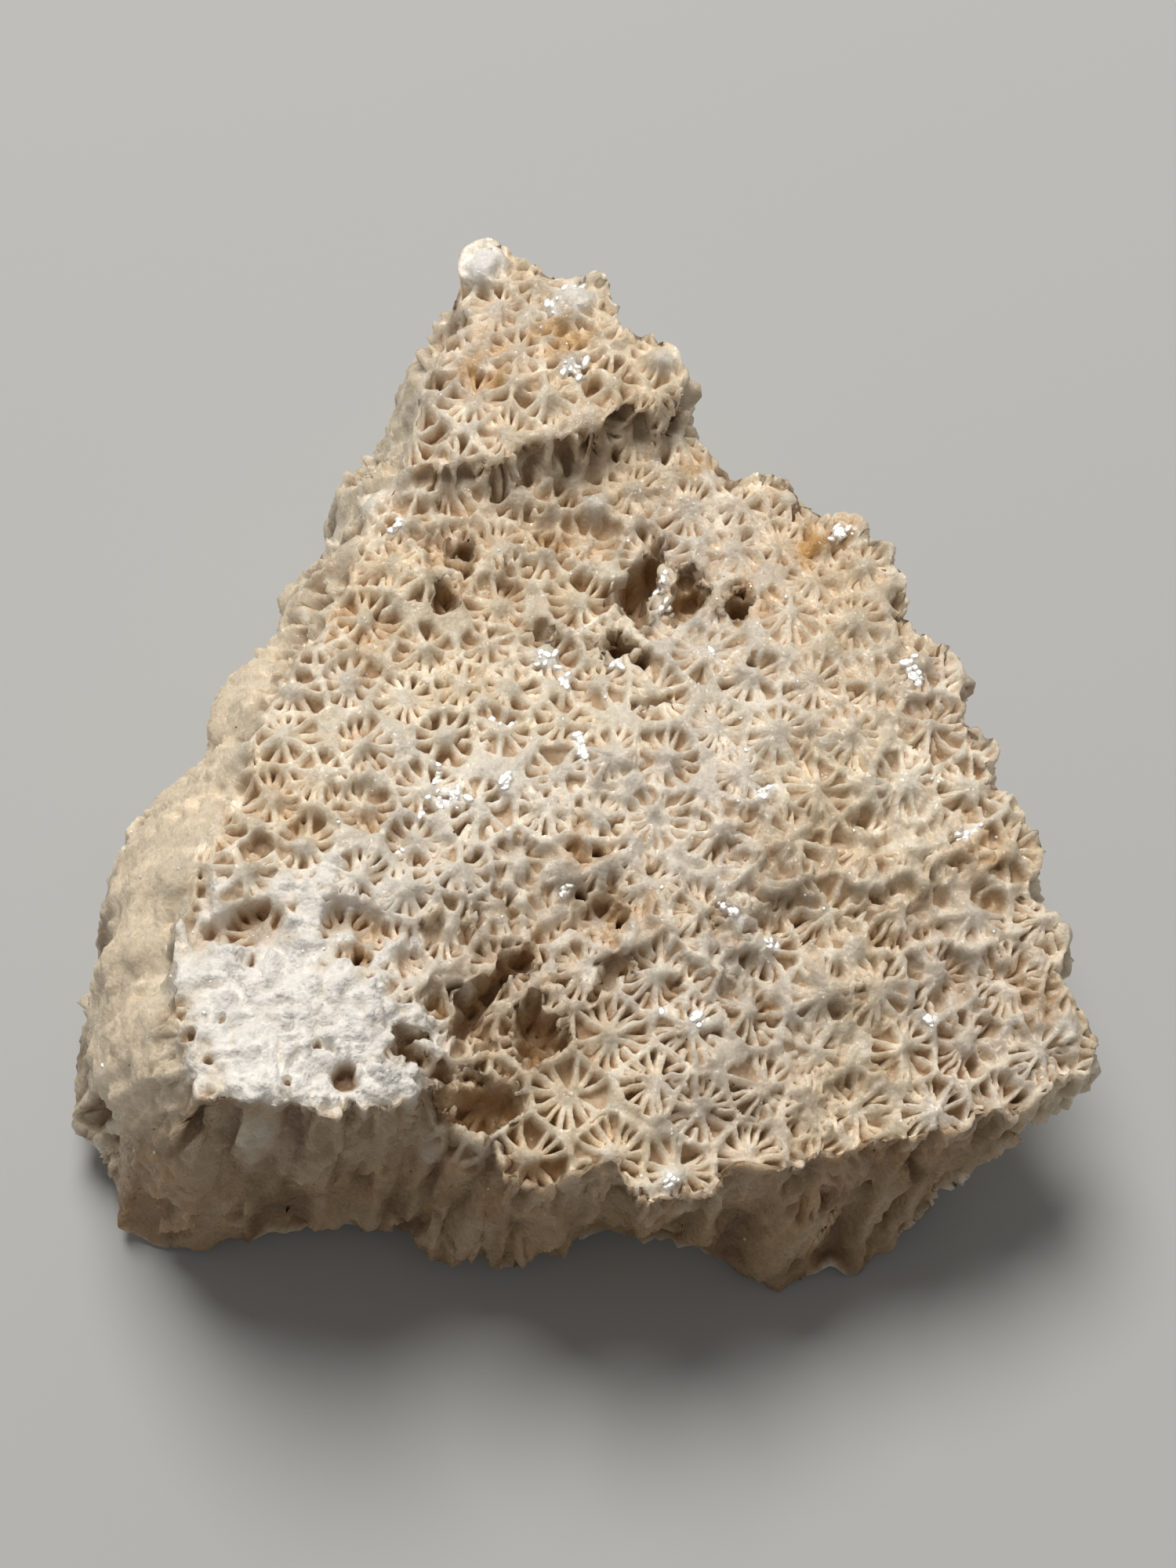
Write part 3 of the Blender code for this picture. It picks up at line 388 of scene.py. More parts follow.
class ChunkSettings(bpy.types.PropertyGroup):
    """Sizes and colours of the coral chunk."""
    mesh_fineness: bpy.props.FloatProperty(
        name="Mesh fineness", description="Edge length of the chunk's first mesh",
        default=0.125 * MM, min=0.1 * MM, max=0.6 * MM, unit="LENGTH")
    triangles: bpy.props.IntProperty(
        name="Triangles", description="Triangles that the finished chunk keeps", default=196000, max=199000)
    pit_depth: bpy.props.FloatProperty(
        name="Pit depth", description="Depth of a deep pit between two plates", default=1.3 * MM, unit="LENGTH")
    plate_thickness: bpy.props.FloatProperty(
        name="Plate thickness", description="Thickness of a radial plate", default=0.23 * MM, unit="LENGTH")
    cream: colour_setting("Cream silica", "Colour of the clean surface", CREAM)
    # Also painted on all flanks as painted warm shade
    warm: colour_setting("Warm silica", "Colour of the yellower cream", WARM_CREAM)
    pale: colour_setting("Pale grains", "Colour of the whitest grains", PALE)
    # Tan goes on the pits' floors and, as painted shade, into every sunk place and over the lower front flank
    pit_tan_and_shade: colour_setting("Pit tan", "Colour inside the pits", PIT_TAN_AND_SHADE)
    # Amber also goes on the lower front flank as painted shade
    amber: colour_setting("Amber", "Colour of the floors of the hollows", AMBER)
    # Painted shade: deep brown goes into the holes, the flanks' grooves and the comb's gaps
    deep_brown_and_shade: colour_setting("Deep brown", "Colour of the deepest holes", DEEP_BROWN_AND_SHADE)
    chalk: colour_setting("Chalk", "Colour of the chalky crust", CHALK)
    stain: colour_setting("Rust stain", "Colour of the iron stains", STAIN)
    # Painted light: the paler cream painted on the left flank's shoulder
    painted_lit_flank: colour_setting("Rind", "Colour of the rounded left flank", PAINTED_LIT_FLANK)
    # Partly painted shade in front of the step and in the chalk's recesses
    grey: colour_setting("Grey silica", "Colour of the clear grey silica", GREY_AND_SHADE)
    speck: colour_setting("Specks", "Colour of the dark mineral specks", SPECK)


class CrystalSettings(bpy.types.PropertyGroup):
    """Sizes and colours of the quartz crystals."""
    width: bpy.props.FloatProperty(
        name="Crystal width", description="Width of a large crystal", default=0.62 * MM, unit="LENGTH")
    scattered: bpy.props.IntProperty(
        name="Scattered crystals", description="Crystals between the bright patches", default=90, max=2000)
    colour: colour_setting("Crystal colour", "Colour of the clear crystals", CRYSTAL)
    cloudy: colour_setting("Cloudy quartz", "Colour of their milky places", CHALK)


class StageSettings(bpy.types.PropertyGroup):
    """Floor and light."""
    floor_size: bpy.props.FloatProperty(
        name="Floor size", description="Side of the square floor", default=1.6, unit="LENGTH")
    floor_colour: colour_setting("Floor colour", "Colour of the matt floor", FLOOR_COLOUR)
    key_power: bpy.props.FloatProperty(
        name="Key power", description="Power of the main light in watts", default=9.9)
    fill: bpy.props.FloatProperty(
        name="Fill", description="Strength of the even light from all round", default=0.16)


def ease(low, high, value):
    """Return 0 below low, 1 above high and a smooth rise between."""
    share = np.clip((value - low) / (high - low), 0.0, 1.0)
    return share * share * (3.0 - 2.0 * share)


def ripple(x, y, wavelength, seed):
    """Return a smooth random field between about -1 and 1, the same on every run."""
    chance = random.Random(seed)
    total = np.zeros_like(x, dtype=float)
    waves = 7
    for _ in range(waves):
        bearing = chance.uniform(0.0, math.tau)
        number = math.tau / (wavelength * chance.uniform(0.75, 1.5))
        phase = chance.uniform(0.0, math.tau)
        total += np.sin(number * (x * math.cos(bearing) + y * math.sin(bearing)) + phase)
    return total / math.sqrt(waves)


def grain(x, y, z, size, seed):
    """Return lattice noise between -1 and 1 whose lumps are about the given size."""
    spot = np.stack([x, y, z], axis=-1) / size + 1000.0
    cell = np.floor(spot).astype(np.int64)
    share = spot - cell
    share = share * share * (3.0 - 2.0 * share)
    total = np.zeros(len(x))
    for corner in range(8):
        step = np.array([corner & 1, corner >> 1 & 1, corner >> 2 & 1])
        key = cell + step
        mixed = key[:, 0] * 73856093 ^ key[:, 1] * 19349663 ^ key[:, 2] * 83492791 ^ seed * 2654435761
        mixed = (mixed ^ mixed >> 13) * 1274126177 & 0x7FFFFFFF
        mixed = (mixed ^ mixed >> 16) & 0xFFFF
        weight = np.prod(np.where(step == 1, share, 1.0 - share), axis=1)
        total += weight * (mixed / 32767.5 - 1.0)
    return total


def blended_height(x, y, heights):
    """Blend the listed heights, the nearest ones counting most."""
    top = np.zeros_like(x, dtype=float)
    weight_sum = np.full_like(x, 1e-12, dtype=float)
    for at_x, at_y, z in heights:
        weight = np.exp(-((x - at_x) ** 2 + (y - at_y) ** 2) / (2.0 * HEIGHT_BLEND ** 2)) + 1e-9
        top += weight * z
        weight_sum += weight
    return top / weight_sum


def hollow_reach(x, y, hollow):
    """Return how far a point is from a hollow's middle, 1 at its brink."""
    at_x, at_y, axis_x, axis_y, half_width, _ = hollow
    length = math.hypot(axis_x, axis_y)
    along = ((x - at_x) * axis_x + (y - at_y) * axis_y) / (length * length)
    across = ((y - at_y) * axis_x - (x - at_x) * axis_y) / (length * half_width)
    return np.hypot(along, across)


def tip_share(x, y):
    """Return 1 on the raised tip, 0 before the step and a rise between on the step itself."""
    brink_x, brink_y = zip(*LEDGE_BRINK)
    ragged = 0.45 * ripple(x, y, 4.2, 73) + 0.16 * ripple(x, y, 1.5, 74)
    return ease(-LEDGE_RUN, 0.0, y - np.interp(x, brink_x, brink_y) + ragged)


def whole_face_height(x, y):
    """Height of the upper face with its step, before the hollows broke out of it."""
    z = blended_height(x, y, FACE_HEIGHTS)
    z += tip_share(x, y) * (blended_height(x, y, TIP_HEIGHTS) - z)
    return z + FACE_SWELL * ripple(x, y, FACE_SWELL_WAVELENGTH, 11)


def face_height(x, y):
    """Height of the upper face with its hollows."""
    z = whole_face_height(x, y)
    ragged = HOLLOW_RAGGEDNESS * (ripple(x, y, 1.7, 71) + ripple(x, y, 3.1, 72))
    for hollow in HOLLOWS:
        z -= hollow[5] * (1.0 - ease(HOLLOW_FLOOR, HOLLOW_BRINK, hollow_reach(x, y, hollow) + ragged))
    return z


def underside_height(x, y):
    """Height of the broken underside above the floor, down to its flat places."""
    rough = UNDERSIDE_ROUGHNESS * ripple(x, y, 6.0, 23) + 0.35 * ripple(x, y, 2.3, 24)
    z = np.maximum(blended_height(x, y, UNDERSIDE_HEIGHTS) + rough, UNDERSIDE_LEAST)
    for at_x, at_y, radius in CONTACTS:
        z *= ease(radius, radius + 1.6, np.hypot(x - at_x, y - at_y))
    return z


def tube_centres():
    """Middles of all tubes: the placed ones, and a relaxed fill of the field round them."""
    chance = random.Random(TUBE_SEED)
    placed = np.array(CLEAR_TUBES)
    fill = []
    row_height = TUBE_SPACING * math.sqrt(0.75)
    rows = int(2.0 * FIELD_HALF_WIDTH / row_height)
    columns = int(2.0 * FIELD_HALF_WIDTH / TUBE_SPACING)
    for row in range(rows):
        for column in range(columns):
            across = (column + 0.5 * (row % 2)) * TUBE_SPACING
            x = -FIELD_HALF_WIDTH + across + chance.uniform(-TUBE_JITTER, TUBE_JITTER)
            y = -FIELD_HALF_WIDTH + row * row_height + chance.uniform(-TUBE_JITTER, TUBE_JITTER)
            if np.hypot(placed[:, 0] - x, placed[:, 1] - y).min() > TUBE_LEAST_GAP:
                fill.append((x, y))
    centres = np.vstack([placed, np.array(fill)])
    for _ in range(RELAX_ROUNDS):
        gap = centres[:, None, :] - centres[None, :, :]
        distance = np.hypot(gap[..., 0], gap[..., 1])
        np.fill_diagonal(distance, 1e9)
        push = np.clip(RELAX_GAP - distance, 0.0, None) / distance
        centres[len(placed):] += RELAX_SHARE * (gap * push[..., None]).sum(axis=1)[len(placed):]
    spots = np.arange(-FIELD_HALF_WIDTH, FIELD_HALF_WIDTH, 0.5)
    spots = np.stack(np.meshgrid(spots, spots), axis=-1).reshape(-1, 2)
    room = np.hypot(*(spots[:, None, :] - centres[None, :, :]).transpose(2, 0, 1)).min(axis=1)
    while room.max() > WIDEST_GAP:
        emptiest = spots[room.argmax()]
        centres = np.vstack([centres, emptiest])
        room = np.minimum(room, np.hypot(*(spots - emptiest).T))
    return centres


def outline_profiles():
    """Spread rim points evenly along the outline; each carries its belly and its foot."""
    rows = np.array(OUTLINE + OUTLINE[:1])
    run = np.concatenate([[0.0], np.cumsum(np.hypot(*np.diff(rows[:, :2], axis=0).T))])
    count = int(round(run[-1] / RIM_STEP))
    at_run = np.arange(count) * run[-1] / count
    return np.column_stack([np.interp(at_run, run, rows[:, column]) for column in range(rows.shape[1])])


def outward(points):
    """Unit normals in plan of a closed clockwise loop, pointing out."""
    along = np.roll(points, -2, axis=0) - np.roll(points, 2, axis=0)
    normal = np.column_stack([-along[:, 1], along[:, 0]])
    return normal / np.hypot(normal[:, 0], normal[:, 1])[:, None]


def flank_rings(profiles):
    """Return the rings of points from the rim down to the foot, fluted along the tubes."""
    chance = random.Random(TUBE_SEED + 1)
    normals = outward(profiles[:, 2:4])
    teeth = np.array([EDGE_TOOTH * chance.uniform(-1.6, 1.6) for _ in range(len(profiles))])
    teeth *= 1.0 - 0.9 * ease(0.4, 0.8, -normals[:, 0])
    rim = np.column_stack([profiles[:, :2], face_height(profiles[:, 0], profiles[:, 1])])
    belly = profiles[:, 2:5]
    foot = profiles[:, 5:8]
    rings = []
    for share in (0.0,) + FLANK_STEPS:
        to_rim = (share - BELLY_SHARE) * (share - 1.0) / BELLY_SHARE
        to_belly = share * (share - 1.0) / (BELLY_SHARE * (BELLY_SHARE - 1.0))
        to_foot = share * (share - BELLY_SHARE) / (1.0 - BELLY_SHARE)
        ring = to_rim * rim + to_belly * belly + to_foot * foot
        along_tube = ring[:, 0] - TUBE_LEAN * (ring[:, 2] - rim[:, 2])
        wave = EDGE_WAVE * ripple(along_tube, ring[:, 1], EDGE_WAVELENGTH, 31)
        slid = (ring[:, 0] + 0.8 * ring[:, 2], ring[:, 1] - 1.1 * ring[:, 2])
        swell = FLANK_SWELL * ripple(*slid, SWELL_WAVELENGTH, 37)
        ring[:, :2] += normals * (teeth + wave + swell)[:, None]
        rings.append(ring)
    rings[-1][:, 2] = np.maximum(rings[-1][:, 2], 0.0)
    return rings


def flank_block():
    """A closed block with the flanks' form, taller than the chunk at both ends."""
    rings = flank_rings(outline_profiles())
    above = rings[0].copy()
    above[:, 2] = BLOCK_TOP
    below = rings[-1].copy()
    below[:, 2] = BLOCK_BOTTOM
    mesh = bmesh.new()
    verts = [mesh.verts.new(tuple(p)) for p in above]
    loop_edges = [mesh.edges.new((verts[i - 1], verts[i])) for i in range(len(verts))]
    bmesh.ops.contextual_create(mesh, geom=loop_edges)
    for ring in rings + [below]:
        pulled = bmesh.ops.extrude_edge_only(mesh, edges=loop_edges)["geom"]
        new_verts = {v for v in pulled if isinstance(v, bmesh.types.BMVert)}
        loop_edges = [e for e in pulled if isinstance(e, bmesh.types.BMEdge)]
        lower = []
        for vert in verts:
            lower.append(next(e.other_vert(vert) for e in vert.link_edges if e.other_vert(vert) in new_verts))
        for vert, place in zip(lower, ring):
            vert.co = tuple(place)
        verts = lower
    bmesh.ops.contextual_create(mesh, geom=loop_edges)
    bmesh.ops.recalc_face_normals(mesh, faces=mesh.faces[:])
    return mesh


def face_slab():
    """A closed slab whose upper side is the broken face and whose lower side is the underside."""
    mesh = bmesh.new()
    bmesh.ops.create_grid(mesh, x_segments=SLAB_CELLS, y_segments=SLAB_CELLS, size=SLAB_HALF_WIDTH)
    top = mesh.verts[:]
    pulled = bmesh.ops.extrude_face_region(mesh, geom=mesh.faces[:])["geom"]
    under = [v for v in pulled if isinstance(v, bmesh.types.BMVert)]
    for verts, height in ((top, face_height), (under, underside_height)):
        place = np.array([v.co[:2] for v in verts])
        for vert, z in zip(verts, height(place[:, 0], place[:, 1])):
            vert.co.z = z
    bmesh.ops.recalc_face_normals(mesh, faces=mesh.faces[:])
    return mesh


def in_scene(name, data):
    """Put a mesh, a light or a camera into the scene as an object."""
    item = bpy.data.objects.new(name, data)
    bpy.context.scene.collection.objects.link(item)
    return item


def object_from(mesh, name):
    """Turn a bmesh into an object in the scene."""
    data = bpy.data.meshes.new(name)
    mesh.to_mesh(data)
    mesh.free()
    return in_scene(name, data)


def bake_modifiers(item):
    """Replace an object's mesh by what its modifiers make of it."""
    depsgraph = bpy.context.evaluated_depsgraph_get()
    data = bpy.data.meshes.new_from_object(item.evaluated_get(depsgraph))
    item.modifiers.clear()
    old = item.data
    item.data = data
    bpy.data.meshes.remove(old)


def broken_chunk(fineness):
    """Cut the flank block by the two broken faces and remesh it finely, in millimetres."""
    block = object_from(flank_block(), "coral_chunk")
    slab = object_from(face_slab(), "slab")
    cut = block.modifiers.new("Broken faces", "BOOLEAN")
    cut.operation = "INTERSECT"
    cut.solver = "EXACT"
    cut.object = slab
    remesh = block.modifiers.new("Fine mesh", "REMESH")
    remesh.mode = "VOXEL"
    remesh.voxel_size = fineness
    bake_modifiers(block)
    bpy.data.objects.remove(slab, do_unlink=True)
    return block


class Colony:
    """The tubes of the colony: where each stands, and how its plates and pits are made."""

    def __init__(self, plate_thickness, pit_depth):
        chance = random.Random(TUBE_SEED + 7)
        self.centres = tube_centres()
        count = len(self.centres)

        def each(low, high):
            return np.array([chance.uniform(low, high) for _ in range(count)])

        fine = ease(-3.0, 9.0, self.centres[:, 0])
        self.plates = np.array([2 * (chance.choice((5, 6, 6, 7, 7)) + int(2.4 * share)) for share in fine])
        self.turn = each(0.0, math.tau)
        self.middle = each(0.42, 0.75)
        gap = self.centres[:, None, :] - self.centres[None, :, :]
        room = np.sort(np.hypot(gap[..., 0], gap[..., 1]), axis=1)[:, 1:5].mean(axis=1)
        self.bore = np.clip(0.53 * room, 2.1, 2.75) * each(0.94, 1.06)
        self.squash = each(-0.12, 0.12)
        self.cup = np.array([chance.choice((0.0, 0.1, 0.2, 0.3, 0.5)) for _ in range(count)]) * (1.0 - 0.4 * fine)
        self.level = each(-0.25, 0.3)
        self.bearing = np.zeros((count, MOST_PLATES + 1))
        self.half_plate, self.inner_end, self.outer_end, self.depth, self.drop = np.zeros((5, count, MOST_PLATES))
        for tube in range(count):
            plates = self.plates[tube]
            vigour = chance.uniform(0.65, 1.0) * (1.0 - 0.25 * fine[tube])
            thinner = 1.0 - 0.2 * fine[tube]
            short_share = chance.choice((0.0, 0.3, 0.7))
            for k in range(MOST_PLATES):
                self.bearing[tube, k] = (k + chance.uniform(-0.25, 0.25)) * math.tau / plates
                self.half_plate[tube, k] = 0.5 * plate_thickness * chance.uniform(0.75, 1.35) * thinner
                self.outer_end[tube, k] = chance.uniform(0.88, 1.1)
                self.depth[tube, k] = pit_depth * vigour * chance.choice((0.5, 0.8, 1.0, 1.0, 1.0, 1.2))
                if k % 2 == 1:
                    self.depth[tube, k] = 0.75 * self.depth[tube, k - 1] + 0.25 * self.depth[tube, k]
                    if chance.random() < short_share:
                        self.inner_end[tube, k] = chance.uniform(1.1, 1.55)
                    elif chance.random() < 0.16:
                        self.inner_end[tube, k] = NO_PLATE
                self.drop[tube, k] = chance.choice((0.0, 0.0, 0.05, 0.1, 0.3, 0.6))
            self.bearing[tube, plates] = self.bearing[tube, 0] + math.tau

    def lean(self, x, y):
        """Return how far the tubes lean for each millimetre up; they fan out from below."""
        return COLONY_LEAN + x / TUBE_SPREAD, y / TUBE_SPREAD

    def spread(self, x, y, z):
        """Follow each point along its tube to the level of the upper face."""
        lean_x, lean_y = self.lean(x, y)
        up = FACE_LEVEL - z
        return x + lean_x * up, y + lean_y * up

    def relief(self, x, y):
        """Return, for points in the plane across the tubes, how far inside a pit each is, the depth
        of that pit, the drop of the wall, plate or middle there, the distance to the wall, and the
        depth of the grooves that carry on over the wall between two plates."""
        parts = [self.relief_of_part(x[i:i + AT_ONCE], y[i:i + AT_ONCE]) for i in range(0, len(x), AT_ONCE)]
        return [np.concatenate(values) for values in zip(*parts)]

    def relief_of_part(self, x, y):
        """Return the same for a part of the points."""
        gap_x = x[:, None] - self.centres[:, 0]
        gap_y = y[:, None] - self.centres[:, 1]
        square = gap_x ** 2 + gap_y ** 2
        order = np.argpartition(square, 2, axis=1)[:, :3]
        near = np.take_along_axis(square, order, axis=1)
        rank = np.argsort(near, axis=1)
        order = np.take_along_axis(order, rank, axis=1)
        near = np.take_along_axis(near, rank, axis=1)
        tube = order[:, 0]
        to_wall = np.full(len(x), 9.0)
        for other in (1, 2):
            apart = np.hypot(*(self.centres[order[:, other]] - self.centres[tube]).T)
            to_wall = np.minimum(to_wall, (near[:, other] - near[:, 0]) / (2.0 * apart))
        row = np.arange(len(x))
        radius = np.sqrt(near[:, 0])
        angle = np.arctan2(gap_y[row, tube], gap_x[row, tube]) - self.turn[tube]
        bore = self.bore[tube] * (1.0 + self.squash[tube] * np.cos(2.0 * angle))
        angle = (angle - self.bearing[tube, 0]) % math.tau + self.bearing[tube, 0]
        gap = np.zeros(len(x), dtype=int)
        for k in range(1, MOST_PLATES):
            gap += (angle >= self.bearing[tube, k]) & (k < self.plates[tube])
        after = (gap + 1) % self.plates[tube]
        bore = bore * self.outer_end[tube, gap]
        widen = 1.0 + 0.6 * np.clip(1.0 - radius / 2.0, -0.2, 1.0) + 0.2 * ease(0.5, 0.0, bore - radius)
        to_plates = []
        turns = (angle - self.bearing[tube, gap], self.bearing[tube, gap + 1] - angle)
        for plate, turn in zip((gap, after), turns):
            along = radius * np.cos(turn)
            across = radius * np.sin(np.clip(turn, 0.0, 1.5))
            short = np.clip(self.inner_end[tube, plate] - along, 0.0, None)
            to_plates.append(np.hypot(across, short) - self.half_plate[tube, plate] * widen)
        to_plate = np.minimum(*to_plates)
        plate = np.where(to_plates[0] < to_plates[1], gap, after)
        to_middle = radius - self.middle[tube]
        to_rock = np.minimum(bore - radius, to_wall - WALL_HALF_THICKNESS)
        nearness = sum(np.exp(-gap_to / PIT_ROUNDING) for gap_to in (to_plate, to_middle, to_rock))
        inside = -PIT_ROUNDING * np.log(nearness)
        by_plate = np.exp(-np.clip(to_plate, -0.4, 2.0) / 0.1)
        by_rest = np.exp(-np.clip(np.minimum(to_middle, to_rock), -0.4, 2.0) / 0.1)
        drop = self.drop[tube, plate] * by_plate / (by_plate + by_rest)
        in_tube = ease(0.0, 0.8, bore - radius)
        drop += self.cup[tube] * in_tube * ease(0.2, 1.2, radius) - self.level[tube] * ease(0.0, 0.7, to_wall)
        groove = ease(0.0, 0.3, to_plate) * ease(0.25, -0.1, to_rock) * ease(0.0, 0.3, to_wall)
        return inside, self.depth[tube, gap], drop, to_wall, groove


def beyond_rim(x, y):
    """Distance in plan to the rim of the upper face, above 0 beyond the rim and below 0 within it."""
    rim = outline_profiles()[:, :2]
    normals = outward(rim)
    parts = []
    for i in range(0, len(x), AT_ONCE):
        gap_x = x[i:i + AT_ONCE, None] - rim[:, 0]
        gap_y = y[i:i + AT_ONCE, None] - rim[:, 1]
        nearest = (gap_x ** 2 + gap_y ** 2).argmin(axis=1)
        row = np.arange(len(nearest))
        gap_x = gap_x[row, nearest]
        gap_y = gap_y[row, nearest]
        parts.append(np.copysign(np.hypot(gap_x, gap_y), gap_x * normals[nearest, 0] + gap_y * normals[nearest, 1]))
    return np.concatenate(parts)


def chalk_share(x, y):
    """How chalky the crust is: all over the raised left front of the upper face."""
    along, across = (x - CHALK_MIDDLE[0]) / CHALK_HALF_WIDTH[0], (y - CHALK_MIDDLE[1]) / CHALK_HALF_WIDTH[1]
    reach = (np.abs(along) ** 3 + np.abs(across) ** 3) ** (1.0 / 3.0)
    return 1.0 - ease(0.72, 1.18, reach + 0.16 * ripple(x, y, 4.0, 51))


def patches(x, y, table):
    """Blend the listed soft round patches: x, y, radius, strength."""
    share = np.zeros(len(x))
    wobble = 0.35 * ripple(x, y, 2.2, 61)
    for at_x, at_y, radius, strength in table:
        reach = np.hypot(x - at_x, y - at_y) / radius + wobble
        share = np.maximum(share, strength * (1.0 - ease(0.35, 1.25, reach)))
    return share


def painted_glint_share(x, y, z):
    """How much painted highlight covers a point: white painted where the crystal crust flashes."""
    share = np.zeros(len(x))
    ragged = 0.5 * grain(x, y, z, 0.7, 62) + 0.3 * grain(x, y, z, 0.4, 63)
    for at_x, at_y, half_length, half_width, bearing, _ in GLINTS:
        turn = math.radians(bearing)
        along = (x - at_x) * math.cos(turn) + (y - at_y) * math.sin(turn)
        across = (y - at_y) * math.cos(turn) - (x - at_x) * math.sin(turn)
        reach = np.hypot(along / (1.15 * half_length), across / (1.15 * half_width)) + ragged
        share = np.maximum(share, 1.0 - ease(0.75, 0.95, reach))
    return share


def vectors(data, name):
    """Read one vector for each vertex, in rows."""
    values = np.empty(len(data.vertices) * 3, dtype=np.float32)
    data.vertices.foreach_get(name, values)
    return values.reshape(-1, 3).astype(float)


def knob_shares(x, y, z):
    """How much of a knob each point is, how far the knob pushes it out, and how white it is."""
    knob, push, white = np.zeros((3, len(x)))
    for at_x, at_y, at_z, radius, stand, whiteness in KNOBS:
        reach = np.sqrt((x - at_x) ** 2 + (y - at_y) ** 2 + (z - at_z) ** 2) / radius
        share = 1.0 - ease(0.25, 1.0, reach + 0.12 * grain(x, y, z, 0.9, 41))
        knob = np.maximum(knob, share)
        push = np.maximum(push, stand * share)
        white = np.maximum(white, whiteness * share)
    return knob, push, white


def hole_depths(x, y, z, up):
    """How deep each point lies in a small hole of the upper face, and in one of the flanks."""
    holes, dents = np.zeros((2, len(x)))
    ragged = 0.3 * grain(x, y, z, 0.9, 43)
    for at_x, at_y, radius, deep in FACE_HOLES:
        reach = np.hypot(x - at_x, y - at_y) / radius + ragged
        holes = np.maximum(holes, up * deep * (1.0 - ease(0.55, 1.1, reach)))
    for at_x, at_y, at_z, radius, deep in FLANK_HOLES:
        reach = np.sqrt((x - at_x) ** 2 + (y - at_y) ** 2 + (z - at_z) ** 2) / radius + ragged
        dents = np.maximum(dents, (1.0 - up) * deep * (1.0 - ease(0.5, 1.0, reach)))
    return holes, dents


def flank_relief(x, y, z, to_left, inside, below_face, shoulder, broken_out):
    """How far each point of a flank stands out, and what does it there: slot, open tube, ridge.

    Rounded ridges and grooves lean down to the left, and some tubes are cut open along their length. The left flank
    is smoother: a smooth cover lies over it, which swells most on its shoulder.
    """
    facing_left = ease(0.45, 0.85, to_left) * ease(-8.0, -12.0, x)
    rinded = np.maximum(ease(-14.0, -20.0, x), ease(0.2, 0.6, to_left) * ease(-3.0, -7.0, x))
    along_x = (x - FLANK_LEAN[0] * z) * (1.0 - 0.65 * facing_left)
    along_y = y - (FLANK_LEAN[1] + 0.2 * facing_left) * z
    ridge = 0.9 * np.abs(grain(along_x, along_y, 0.1 * z, 2.3, 30))
    ridge += (0.5 - 0.25 * rinded) * np.abs(grain(along_x, along_y, 0.15 * z, 1.0, 31))
    fold = FOLD_HEIGHT * grain(along_x, along_y, 0.1 * z, 4.2, 52) - 0.25
    fold += 0.5 * ease(-0.14, 0.14, grain(along_x, along_y, 0.45 * z, 3.6, 53))
    slot = ease(0.15, 0.6, grain(along_x, along_y, 0.2 * z, 0.8, 32))
    slot = slot * ease(-0.1, 0.4, grain(x, y, 0.3 * z, 3.4, 33))
    near_rim = ease(7.0, 2.0, below_face + 2.0 * grain(x, y, z, 2.0, 19))
    shown = np.maximum(ease(-0.1, 0.5, grain(x, y, 0.3 * z, 4.0, 29)), near_rim)
    cut_open = ease(0.0, 0.18, inside) * shown * (1.0 - rinded) * ease(0.2, 1.4, below_face)
    along_tube = (RIDGE_HEIGHT - 0.7 * rinded) * (ridge - 0.45) * (0.6 + 0.4 * ease(0.0, 2.5, below_face))
    along_tube += (1.0 - 0.5 * facing_left) * fold * ease(0.5, 3.0, below_face)
    along_tube -= (SLOT_DEPTH - 0.25 * rinded) * slot + OPEN_TUBE_DEPTH * cut_open
    crumbs = 0.35 * np.abs(grain(x, y, z, 1.5, 34)) + 0.3 * np.abs(grain(x, y, z, 0.75, 35)) - 0.2
    swell = 0.6 + 0.22 * grain(x, y, z, 4.5, 45) + 0.3 * grain(x, y, z, 1.8, 46)
    stands = along_tube * (1.0 - 0.8 * shoulder) + crumbs * (1.0 + 0.3 * shoulder) + shoulder * swell
    stands *= (1.0 - 0.8 * ease(0.2, 1.0, broken_out)) * (0.12 + 0.88 * ease(0.0, 3.2, z))
    stands *= 1.0 - 0.6 * rinded * ease(3.0, 0.5, below_face)
    return stands, slot, cut_open, ridge


